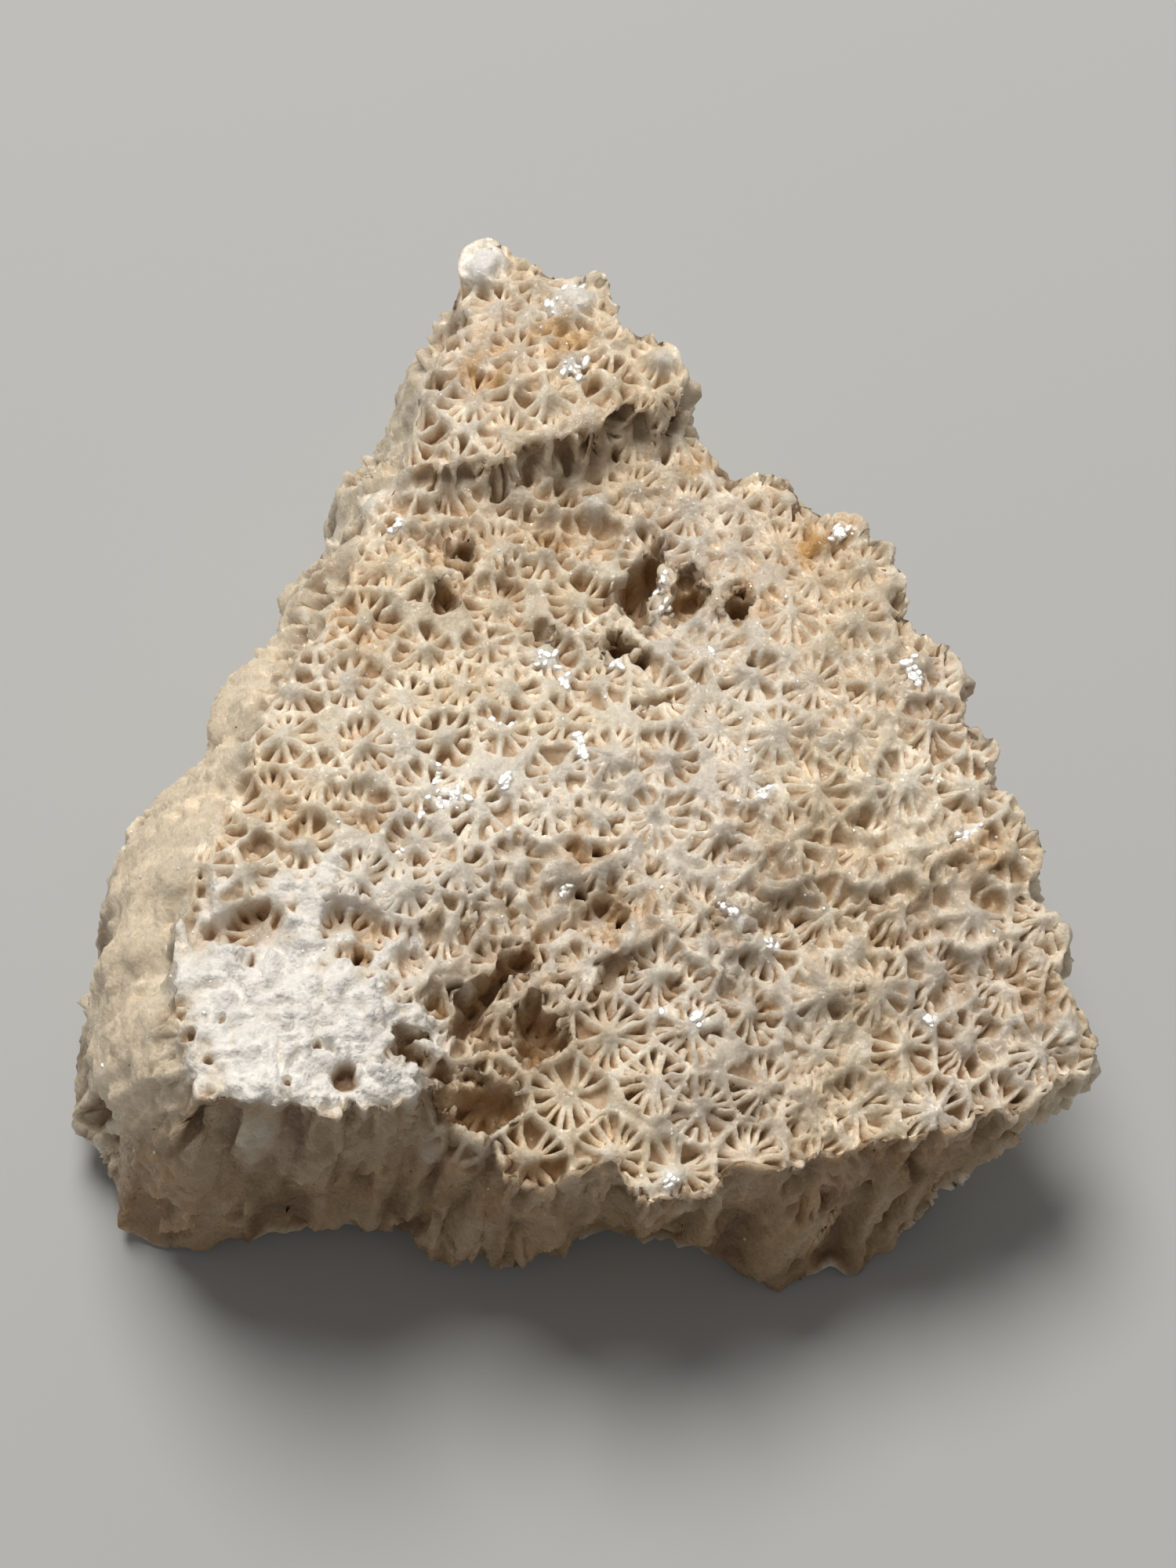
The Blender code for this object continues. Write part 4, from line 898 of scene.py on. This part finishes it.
def eat_pits(chunk, settings):
    """Sink the pits, plates and walls of every tube into the chunk, and note what they bare."""
    data = chunk.data
    place = vectors(data, "co")
    normal = vectors(data, "normal")
    colony = Colony(settings.plate_thickness / MM, settings.pit_depth / MM)
    x, y, z = place.T
    flat = np.zeros(len(x))
    whole = whole_face_height(x, y)
    below_face = whole - z

    # Which part of the chunk each point is on
    beyond = beyond_rim(x, y)
    level = ease(0.3, 0.62, normal[:, 2])
    up = level * (1.0 - ease(0.3, 1.6, beyond))
    down = ease(0.35, 0.7, -normal[:, 2])
    side = 1.0 - up - down
    shoulder = ease(-19.0, -22.0, x) * ease(0.8, 2.4, beyond) * ease(7.0, 13.0, z) * side
    risen = tip_share(x, y)
    step = ease(0.0, 0.6, 4.0 * risen * (1.0 - risen)) * ease(0.6, 0.0, beyond) * ease(18.0, 20.0, z)
    broken_out = np.clip(whole - face_height(x, y), 0.0, DEEPEST_HOLLOW) * ease(9.0, 12.0, z)
    hollow = broken_out * ease(0.1, 0.4, level)
    in_hollow = ease(0.5, 1.6, hollow)

    # The tubes, wavering as grown ones do
    across_x, across_y = colony.spread(x, y, z)
    crumbly = patches(x, y, CRUMBLY)
    waver = 0.11 + 0.22 * crumbly
    across_x += 0.28 * grain(x, y, 0.4 * z, 2.0, 3) + waver * grain(x, y, 0.6 * z, 0.6, 5)
    across_y += 0.28 * grain(x, y, 0.4 * z, 2.0, 4) + waver * grain(x, y, 0.6 * z, 0.6, 6)
    inside, depth, drop, to_wall, groove = colony.relief(across_x, across_y)

    # What lies over them: chalk, knobs and holes
    cover = chalk_share(x, y) * ease(13.0, 17.0, z) * (1.0 - patches(x, y, CHALK_GAPS))
    knob, push, white = knob_shares(x, y, z)
    holes, dents = hole_depths(x, y, z, up)

    # Upper face: pits between plates, grooves and pores in the walls
    clear = (1.0 - cover) * (1.0 - knob) * (1.0 - 0.3 * in_hollow)
    open_share = np.clip(1.0 + 0.5 * grain(x, y, z, 5.0, 9), 0.55, 1.0)
    open_share *= 1.0 - crumbly * (0.25 + 0.5 * ease(-0.1, 0.5, grain(x, y, z, 1.4, 49)))
    deeper = 1.0 + 0.4 * ease(4.0, 14.0, y) + 0.5 * ease(22.5, 19.5, z) * ease(0.0, 6.0, x)
    hole = depth * open_share * clear * ease(0.0, 0.16, inside) * deeper
    on_wall = 1.0 - ease(-0.15, 0.05, inside)
    pore = ease(0.4, 0.7, grain(across_x, across_y, 0.3 * z, 0.8, 14)) * on_wall * ease(0.45, 0.15, to_wall)
    worn = ease(-0.1, 0.5, grain(across_x, across_y, 0.3 * z, 1.7, 15)) * on_wall * ease(0.35, 0.1, to_wall)
    ribs = (GROOVE_DEPTH * groove + PORE_DEPTH * pore + WORN_DEPTH * worn) * clear

    # Walls that still stand in the front hollows, recesses, crumbled plates and the worn rim
    wall_stands = hollow * 0.8 * (1.0 - ease(0.3, 0.55, to_wall + 0.1 * grain(x, y, z, 0.8, 25)))
    wall_stands *= ease(-0.5, 0.1, grain(x, y, z, 2.6, 26)) * ease(-8.0, -12.0, y)
    face_sunk = hole + ribs + drop * (1.0 - 0.75 * cover) * (1.0 - knob) * (1.0 - 0.7 * in_hollow) - wall_stands
    for at_x, at_y, half_x, half_y, deep in RECESSES:
        reach = np.hypot((x - at_x) / half_x, (y - at_y) / half_y) + 0.3 * grain(x, y, flat, 1.6, 47)
        face_sunk += deep * (1.0 - ease(0.5, 1.1, reach))
    nibbled = crumbly * ease(0.05, 0.4, grain(across_x, across_y, 0.25 * z, 0.85, 54)) * clear
    face_sunk += NIBBLE_DEPTH * nibbled
    face_sunk += RIM_WEAR * ease(-1.4, 0.0, beyond) * (0.7 + 0.6 * grain(x, y, z, 1.5, 27)) * (1.0 - cover)

    # The step across the tip: plates seen edge on, like the teeth of a comb
    comb = 0.7 * ease(0.0, 0.35, grain(across_x, 0.3 * y, 0.12 * z, 0.6, 44))
    comb = np.maximum(comb, ease(0.0, 0.14, inside)) * step * (1.0 - knob)

    # Unevenness all over, the crumpled chalk, the flanks and the underside
    rough = 0.28 * grain(x, y, z, 2.8, 20) + (0.13 + 0.25 * crumbly) * grain(x, y, z, 1.3, 21)
    fine = (1.0 + 1.4 * crumbly) * (0.07 * grain(x, y, z, 0.6, 22) + 0.04 * grain(x, y, z, 0.36, 36))
    crease = np.abs(grain(x, y, z, 1.3, 24))
    crust = 0.5 * np.abs(grain(x, y, z, 2.6, 23)) + 0.75 * crease + 0.7 * np.abs(grain(x, y, z, 0.65, 28)) - 0.7
    crust += 0.25 * np.abs(grain(x, y, z, 0.36, 50))
    stands, slot, cut_open, ridge = flank_relief(
        x, y, z, -normal[:, 0], inside, below_face, shoulder, broken_out)
    under = 0.6 * ease(0.0, 0.25, inside) * ease(-0.3, 0.5, grain(x, y, z, 3.0, 13)) + 0.2 * np.abs(rough)

    # Pits go down along the tubes, all else goes out or in along the normal, fading at the foot
    lean_x, lean_y = colony.lean(x, y)
    axis = np.column_stack([lean_x, lean_y, np.ones(len(x))])
    place -= axis * (up * (1.0 - 0.8 * step) * face_sunk + holes)[:, None]
    outward_move = up * (rough * (1.0 - 0.5 * in_hollow) + cover * crust) + side * stands * ease(0.45, 0.0, knob)
    outward_move += (1.0 - down) * fine * (1.0 - 0.7 * knob) * (1.0 - 0.5 * in_hollow) - COMB_DEPTH * comb
    outward_move += push - dents - down * under
    move = normal * outward_move[:, None]
    move[:, 2] = np.where(move[:, 2] < 0.0, move[:, 2] * ease(0.3, 2.5, z), move[:, 2])
    place += move
    place[:, 2] = np.maximum(place[:, 2], 0.0)
    data.vertices.foreach_set("co", place.astype(np.float32).ravel())

    # How much of each colour shows: pits tan, partly their own colour and partly painted shade, hollows amber, deep
    # holes brown as painted shade, and so on. Painted shade also goes on the flanks' grooves and the lower front
    # flank, painted light on the left flank, and painted highlights where the crust flashes. The coordinates have
    # moved with the points, so a pit's floor now lies well below the face.
    below_face = whole - z
    mottle = grain(x, y, z, 0.9, 39)
    pit = ease(0.0, 0.12, inside) * clear * ease(0.25, 0.7, open_share)
    # Painted shade: tan in the pits, ribs, nibbled plates, dips, comb gaps, underside, holes, slots and grooves,
    # over the pits' own tan
    sunk = up * (0.7 * pit + 0.5 * ribs + 0.3 * nibbled + 0.3 * np.clip(drop, 0.0, 1.0))
    sunk = sunk + 0.6 * comb + down * under + holes + dents
    sunk += side * (0.6 * slot + 0.6 * cut_open + 0.9 * ease(0.3, 0.0, ridge)) * (1.0 - shoulder)
    # Painted shade: the lower front flank is painted tan and amber
    front_flank_shade = side * ease(-25.0, -29.0, y)
    sunk += 0.55 * front_flank_shade * (1.0 + 0.8 * grain(x, y, z, 3.0, 48))
    # Painted shade: deep brown in the grooves between the flanks' ridges
    deepest = side * (1.0 - shoulder) * ease(0.32, 0.05, ridge)
    # Painted shade: chalk and the knobs' white fade where tan is painted
    clean = 1.0 - 0.8 * ease(0.3, 1.0, sunk)
    bared = ease(0.5, 2.6, below_face - wall_stands) * ease(0.0, -0.6, beyond) * ease(9.0, 12.0, z)
    over_rim = np.maximum(side, ease(-0.5, 0.3, beyond)) * ease(0.3, 1.6, below_face)
    warm = ease(-0.35, 0.45, grain(x, y, z, 9.0, 37) + 0.25 * grain(x, y, z, 2.5, 38))
    shares = {
        # Warm: random yellower cream, and the yellower cream on all flanks as painted warm shade
        "warm": np.maximum(warm, 0.9 * side),
        "pale": np.maximum(0.6 * ease(-0.1, 0.6, mottle), patches(x, y, PALES)),
        # Painted light: the left flank's shoulder is painted paler cream
        "painted_lit_flank": 0.85 * shoulder,
        # Grey: partly the silica's own grey, partly painted shade in front of the step and in the chalk's recesses
        "grey": 0.65 * patches(x, y, GREY_AND_SHADE_PATCHES) * up * (1.0 - 0.5 * ease(-0.4, 0.3, mottle)),
        # Tan: the sunk places' painted shade, and the tan patches
        "tan": 1.0 - (1.0 - 0.9 * ease(0.05, 0.7, sunk)) * (1.0 - patches(x, y, TAN_TINT_PATCHES)),
        "stain": patches(x, y, STAINS) * (1.0 - side) * (1.0 - 0.6 * ease(-0.4, 0.3, mottle)),
        # Painted shade: the chalk is less white in the crust's creases than on its lumps
        "chalk": cover * clean * (0.55 + 0.45 * ease(0.0, 0.16, crease)) * (1.0 - 0.92 * over_rim),
        # Painted highlight: white painted where the crust flashes, over the knobs' own white
        "white": np.maximum(white * clean, painted_glint_share(x, y, z) * up * (1.0 - 0.8 * ease(0.0, 0.15, inside))),
        # Amber: the hollows' floors, and the lower front flank as painted shade
        "amber": np.maximum(0.65 * bared, 0.5 * front_flank_shade * ease(20.0, 12.0, z)),
        # Brown: painted shade in the holes, the flanks' grooves and the comb's gaps
        "brown": np.maximum(0.85 * ease(0.9, 2.4, holes + dents), 0.6 * deepest + 0.15 * comb),
    }
    for name, values in shares.items():
        layer = data.attributes.new(name, "FLOAT", "POINT")
        layer.data.foreach_set("value", values.astype(np.float32))
    for name, picked, weight in (("underside", down > 0.5, 1.0), ("flanks", side > 0.6, 0.5)):
        group = chunk.vertex_groups.new(name=name)
        group.add(np.flatnonzero(picked).tolist(), weight, "REPLACE")
    data.update()


def thin_mesh(chunk, triangles):
    """Thin the mesh of the underside, then of the flanks, then wherever it is flattest."""
    for name, kept in KEPT_MESH:
        group = chunk.vertex_groups[name].index
        in_group = sum(1 for v in chunk.data.vertices if v.groups and v.groups[0].group == group)
        thinner = chunk.modifiers.new("Fewer triangles", "DECIMATE")
        thinner.ratio = 1.0 - (1.0 - kept) * in_group / len(chunk.data.vertices)
        thinner.vertex_group = name
        thinner.vertex_group_factor = 1.0
        bake_modifiers(chunk)
    chunk.data.calc_loop_triangles()
    last = chunk.modifiers.new("Fewer triangles", "DECIMATE")
    last.ratio = min(1.0, triangles / len(chunk.data.loop_triangles))
    last.use_collapse_triangulate = True
    bake_modifiers(chunk)
    chunk.vertex_groups.clear()


def to_metres(item):
    """Move a piece from its own millimetres to its place in the frame, in metres."""
    item.data.transform(Matrix.Scale(MM, 4) @ Matrix.Translation((-BOX_MIDDLE[0], -BOX_MIDDLE[1], 0.0)))
    item.data.update()


def node(tree, kind, settings=None, links=None):
    """Add a node with its settings, and link its inputs to the given outputs or set their values."""
    made = tree.nodes.new(kind)
    for name, value in (settings or {}).items():
        setattr(made, name, value)
    for name, value in (links or {}).items():
        if isinstance(value, bpy.types.NodeSocket):
            tree.links.new(value, made.inputs[name])
        else:
            made.inputs[name].default_value = value
    return made


def new_material(name):
    """Start a material and return it with its nodes and its shader."""
    material = bpy.data.materials.new(name)
    material.use_nodes = True
    return material, material.node_tree, material.node_tree.nodes["Principled BSDF"]


def coral_material(settings):
    """Silicified coral, freshly broken and weathered in places: sugary translucent quartz."""
    # Translucent cream quartz whose grains scatter the light, so it glows softly and sparkles in points. It goes
    # matt and white where it is chalky and amber where iron stained it. Tan to brown down in the pits is partly
    # their own colour and partly painted shade. Tan, amber and brown on the lower front flank and in the flanks'
    # grooves are painted shade, grey is partly painted shade, the left flank's paler cream is painted light, and
    # white where the crust flashes is painted highlight.
    material, tree, shader = new_material("silicified coral, broken and weathered")
    place = node(tree, "ShaderNodeTexCoord").outputs["Object"]
    colour = node(tree, "ShaderNodeRGB").outputs["Color"]
    colour.default_value = (*settings.cream, 1.0)
    share = {}
    for name, tint in (
        ("warm", settings.warm), ("pale", settings.pale), ("painted_lit_flank", settings.painted_lit_flank), ("grey", settings.grey),
        ("tan", settings.pit_tan_and_shade), ("stain", settings.stain), ("chalk", settings.chalk),
        ("white", settings.chalk), ("amber", settings.amber), ("brown", settings.deep_brown_and_shade),
    ):
        share[name] = node(tree, "ShaderNodeAttribute", {"attribute_name": name}).outputs["Fac"]
        colour = node(tree, "ShaderNodeMix", {"data_type": "RGBA"}, {
            "Factor": share[name], "A": colour, "B": (*tint, 1.0),
        }).outputs["Result"]

    # Each grain throws back a little more or less light than the next
    grains = node(tree, "ShaderNodeTexVoronoi", {"feature": "F1"}, {
        "Vector": place, "Scale": 1.0 / (GRAIN_WIDTH * MM),
    })
    drawn = node(tree, "ShaderNodeSeparateColor", {}, {"Color": grains.outputs["Color"]})
    bright = node(tree, "ShaderNodeMapRange", {}, {
        "Value": drawn.outputs["Red"], "To Min": 0.95, "To Max": 1.05,
    }).outputs["Result"]
    sugary = node(tree, "ShaderNodeHueSaturation", {}, {"Value": bright, "Color": colour}).outputs["Color"]

    # Dark mineral specks, one in every few millimetres
    cells = node(tree, "ShaderNodeTexVoronoi", {"feature": "F1"}, {
        "Vector": place, "Scale": 1.0 / (SPECK_SPACING * MM),
    })
    chosen = node(tree, "ShaderNodeSeparateColor", {}, {"Color": cells.outputs["Color"]}).outputs["Red"]
    few = node(tree, "ShaderNodeMath", {"operation": "GREATER_THAN"}, {0: chosen, 1: 0.9}).outputs[0]
    speck = node(tree, "ShaderNodeMapRange", {}, {
        "Value": cells.outputs["Distance"], "From Min": 0.045, "From Max": 0.075, "To Min": few, "To Max": 0.0,
    }).outputs["Result"]
    specked = node(tree, "ShaderNodeMix", {"data_type": "RGBA"}, {
        "Factor": speck, "A": sugary, "B": (*settings.speck, 1.0),
    }).outputs["Result"]
    tree.links.new(specked, shader.inputs["Base Color"])

    # What changes from clean quartz to chalk: the gloss of etched grains and of glassy ones, the
    # tilt of each grain's face, and how far light goes in
    dull, glassy, tilt_share, glow = (
        node(tree, "ShaderNodeMapRange", {}, {
            "Value": share["chalk"], "To Min": on_quartz, "To Max": on_chalk,
        }).outputs["Result"]
        for on_quartz, on_chalk in ((0.5, 0.95), (0.2, 0.95), (0.28, 0.08), (0.85, 0.15)))
    tree.links.new(glow, shader.inputs["Subsurface Weight"])

    # One grain in five is a clean glassy face, the rest are etched dull
    is_glassy = node(tree, "ShaderNodeMath", {"operation": "GREATER_THAN"}, {
        0: drawn.outputs["Green"], 1: 0.8,
    }).outputs[0]
    gloss = node(tree, "ShaderNodeMapRange", {}, {"Value": is_glassy, "To Min": dull, "To Max": glassy})
    tree.links.new(gloss.outputs["Result"], shader.inputs["Roughness"])

    # Crumbs of half a millimetre to a millimetre, which the mesh is too coarse for on the flanks,
    # then the grains, each with a face of its own
    crumbs = node(tree, "ShaderNodeTexNoise", {}, {
        "Vector": place, "Scale": 1.0 / (CRUMB_WIDTH * MM), "Detail": 3.0, "Roughness": 0.65,
    }).outputs["Fac"]
    crumbled = node(tree, "ShaderNodeBump", {}, {
        "Height": crumbs, "Strength": 0.55, "Distance": 0.6 * MM,
    }).outputs["Normal"]
    lumps = node(tree, "ShaderNodeBump", {"invert": True}, {
        "Height": grains.outputs["Distance"], "Strength": 0.6, "Distance": 0.12 * MM, "Normal": crumbled,
    }).outputs["Normal"]
    turned = node(tree, "ShaderNodeVectorMath", {"operation": "SUBTRACT"}, {
        0: grains.outputs["Color"], 1: (0.5, 0.5, 0.5),
    }).outputs["Vector"]
    tilt = node(tree, "ShaderNodeVectorMath", {"operation": "SCALE"}, {
        0: turned, "Scale": tilt_share,
    }).outputs["Vector"]
    tilted = node(tree, "ShaderNodeVectorMath", {"operation": "ADD"}, {0: lumps, 1: tilt}).outputs["Vector"]
    facets = node(tree, "ShaderNodeVectorMath", {"operation": "NORMALIZE"}, {0: tilted}).outputs["Vector"]
    tree.links.new(facets, shader.inputs["Normal"])
    shader.subsurface_method = "BURLEY"
    shader.inputs["IOR"].default_value = QUARTZ_IOR
    shader.inputs["Subsurface Radius"].default_value = (1.0, 0.97, 0.93)
    shader.inputs["Subsurface Scale"].default_value = 1.1 * MM
    return material


def crystal_material(settings):
    """Clear quartz, grown as small bright crystals."""
    # Hard glassy faces that flash white where they catch the light, a little milky inside.
    material, tree, shader = new_material("quartz, grown crystal faces")
    place = node(tree, "ShaderNodeTexCoord").outputs["Object"]
    cloud = node(tree, "ShaderNodeTexNoise", {}, {"Vector": place, "Scale": 1.0 / (CLOUD_WIDTH * MM), "Detail": 2.0})
    colour = node(tree, "ShaderNodeMix", {"data_type": "RGBA"}, {
        "Factor": cloud.outputs["Fac"], "A": (*settings.colour, 1.0), "B": (*settings.cloudy, 1.0),
    }).outputs["Result"]
    tree.links.new(colour, shader.inputs["Base Color"])
    shader.inputs["Roughness"].default_value = 0.18
    shader.inputs["IOR"].default_value = QUARTZ_IOR
    shader.subsurface_method = "BURLEY"
    shader.inputs["Subsurface Weight"].default_value = 0.6
    shader.inputs["Subsurface Radius"].default_value = (1.0, 1.0, 1.0)
    shader.inputs["Subsurface Scale"].default_value = 0.6 * MM
    return material


def grow_crystal(mesh, spot, facing, wide, long, high, spin):
    """Add one flat-topped six-sided crystal, sunk a little into what it grows on."""
    turn = facing.to_track_quat("Z", "Y").to_matrix().to_4x4() @ Matrix.Rotation(spin, 4, "Z")
    size = Matrix.Diagonal((wide, long, high, 1.0))
    bmesh.ops.create_cone(
        mesh, cap_ends=True, cap_tris=False, segments=6, radius1=0.5, radius2=0.34, depth=1.0,
        matrix=Matrix.Translation(spot + facing * high * 0.1) @ turn @ size)


def key_place():
    """Where the main light hangs, in metres."""
    from_light = Vector((-0.12, math.cos(KEY_ELEVATION), math.sin(KEY_ELEVATION))).normalized()
    return LIT_POINT + KEY_DISTANCE * from_light


def camera_place():
    """Where the camera stands and what it looks at, in metres."""
    elevation = math.radians(CAMERA_ELEVATION)
    back = Vector((0.0, -math.cos(elevation), math.sin(elevation)))
    target = Vector((CAMERA_TARGET[0] - BOX_MIDDLE[0], CAMERA_TARGET[1] - BOX_MIDDLE[1], CAMERA_TARGET[2])) * MM
    return target + back * CAMERA_DISTANCE * MM, target


def facing_for_flash(spot, chance, looseness):
    """How a crystal face has to lie to flash in the photo's view, more or less exactly."""
    middle = (key_place() - spot).normalized() + (camera_place()[0] - spot).normalized()
    loose = Vector((chance.gauss(0.0, looseness), chance.gauss(0.0, looseness), 0.0))
    return (middle.normalized() + loose).normalized()


class CORAL_OT_chunk(bpy.types.Operator):
    """Model the broken chunk of coral and dress it"""
    bl_idname = "coral.chunk"
    bl_label = "Coral chunk"

    def execute(self, context):
        settings = context.scene.coral_chunk
        chunk = broken_chunk(settings.mesh_fineness / MM)
        eat_pits(chunk, settings)
        thin_mesh(chunk, settings.triangles)
        to_metres(chunk)
        chunk.data.shade_smooth()
        chunk.data.materials.clear()
        chunk.data.materials.append(coral_material(settings))
        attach(chunk, BODY)
        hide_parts(NODE)
        return {"FINISHED"}


class CORAL_OT_crystals(bpy.types.Operator):
    """Grow small quartz crystals where the break flashes, and a few between"""
    bl_idname = "coral.crystals"
    bl_label = "Quartz crystals"

    def execute(self, context):
        settings = context.scene.coral_crystals
        ground = BVHTree.FromObject(bpy.data.objects["coral_chunk"], context.evaluated_depsgraph_get())
        chance = random.Random(TUBE_SEED + 11)
        down = Vector((0.0, 0.0, -1.0))
        mesh = bmesh.new()

        def drop(x, y):
            start = Vector(((x - BOX_MIDDLE[0]) * MM, (y - BOX_MIDDLE[1]) * MM, 2.0 * CAD_BOX[1][2]))
            return ground.ray_cast(start, down)[:2]

        for at_x, at_y, half_length, half_width, bearing, count in GLINTS:
            turn = math.radians(bearing)
            spots = []
            for _ in range(count):
                along = half_length * chance.gauss(0.0, 0.55)
                across = half_width * chance.gauss(0.0, 0.6)
                spot, _ = drop(at_x + along * math.cos(turn) - across * math.sin(turn),
                               at_y + along * math.sin(turn) + across * math.cos(turn))
                if spot is not None:
                    spots.append(spot)
            if not spots:
                raise RuntimeError("a bright patch lies off the chunk")
            spots.sort(key=lambda found: found.z)
            for spot in spots[len(spots) // 3:]:
                facing = facing_for_flash(spot, chance, PATCH_LOOSENESS)
                wide = settings.width * chance.uniform(0.45, 1.0)
                long = wide * chance.uniform(1.0, 2.2)
                spin = turn + chance.uniform(-0.7, 0.7)
                grow_crystal(mesh, spot, facing, wide, long, 0.25 * settings.width, spin)
        grown = 0
        while grown < settings.scattered:
            spot, normal = drop(chance.uniform(-34.0, 34.0), chance.uniform(-34.0, 36.0))
            if spot is None or normal.z < GENTLEST_NORMAL_Z:
                continue
            facing = facing_for_flash(spot, chance, BETWEEN_LOOSENESS)
            wide = settings.width * chance.uniform(0.25, 0.55)
            long, high = wide * chance.uniform(0.9, 1.6), wide * chance.uniform(0.3, 0.6)
            grow_crystal(mesh, spot, facing, wide, long, high, chance.uniform(0.0, math.tau))
            grown += 1
        bmesh.ops.recalc_face_normals(mesh, faces=mesh.faces[:])
        crystals = object_from(mesh, "quartz_crystals")
        crystals.data.materials.append(crystal_material(settings))
        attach(crystals, BODY)
        return {"FINISHED"}


class CORAL_OT_stage(bpy.types.Operator):
    """Lay the floor and set the light and the camera"""
    bl_idname = "coral.stage"
    bl_label = "Stage"

    def execute(self, context):
        settings = context.scene.coral_stage
        mesh = bmesh.new()
        bmesh.ops.create_grid(mesh, x_segments=1, y_segments=1, size=0.5 * settings.floor_size)
        floor = object_from(mesh, "floor")
        material, _, shader = new_material("matt painted board")
        shader.inputs["Base Color"].default_value = (*settings.floor_colour, 1.0)
        shader.inputs["Roughness"].default_value = 0.9
        floor.data.materials.append(material)

        light = bpy.data.lights.new("key", "AREA")
        light.shape = "DISK"
        light.size = KEY_SIZE
        light.energy = settings.key_power
        light.color = KEY_COLOUR
        key = in_scene("key", light)
        key.location = key_place()
        key.rotation_euler = (key.location - LIT_POINT).to_track_quat("Z", "Y").to_euler()

        world = bpy.data.worlds.new("even light")
        world.use_nodes = True
        background = world.node_tree.nodes["Background"]
        background.inputs["Color"].default_value = (*FILL_COLOUR, 1.0)
        background.inputs["Strength"].default_value = settings.fill
        context.scene.world = world

        lens = bpy.data.cameras.new("camera")
        lens.sensor_width = SENSOR
        lens.lens = SENSOR * FOCAL_PIXELS / IMAGE_HEIGHT
        lens.clip_start = 0.005
        lens.clip_end = 10.0
        camera = in_scene("camera", lens)
        camera.location, target = camera_place()
        camera.rotation_euler = (camera.location - target).to_track_quat("Z", "Y").to_euler()
        context.scene.camera = camera
        context.scene.view_settings.view_transform = "Standard"
        return {"FINISHED"}


class CORAL_PT_panel(bpy.types.Panel):
    """Lists the chunk's and the stage's settings and operators"""
    bl_label = "Fossil coral"
    bl_idname = "CORAL_PT_panel"
    bl_space_type = "VIEW_3D"
    bl_region_type = "UI"
    bl_category = "Fossil coral"

    def draw(self, context):
        scene = context.scene
        for settings, operator in (
            (scene.coral_chunk, CORAL_OT_chunk), (scene.coral_crystals, CORAL_OT_crystals),
            (scene.coral_stage, CORAL_OT_stage),
        ):
            box = self.layout.box()
            for name in settings.__annotations__:
                box.prop(settings, name)
            box.operator(operator.bl_idname)


CLASSES = (
    ChunkSettings, CrystalSettings, StageSettings, CORAL_OT_chunk, CORAL_OT_crystals, CORAL_OT_stage, CORAL_PT_panel,
)


def register():
    """Add the settings, the operators and the panel."""
    for item in CLASSES:
        bpy.utils.register_class(item)
    bpy.types.Scene.coral_chunk = bpy.props.PointerProperty(type=ChunkSettings)
    bpy.types.Scene.coral_crystals = bpy.props.PointerProperty(type=CrystalSettings)
    bpy.types.Scene.coral_stage = bpy.props.PointerProperty(type=StageSettings)


def unregister():
    """Take them away again."""
    del bpy.types.Scene.coral_stage
    del bpy.types.Scene.coral_crystals
    del bpy.types.Scene.coral_chunk
    for item in reversed(CLASSES):
        bpy.utils.unregister_class(item)


def main():
    """Build the coral and its stage in order."""
    register()
    bpy.ops.coral.chunk()
    bpy.ops.coral.crystals()
    bpy.ops.coral.stage()


if __name__ == "__main__":
    main()
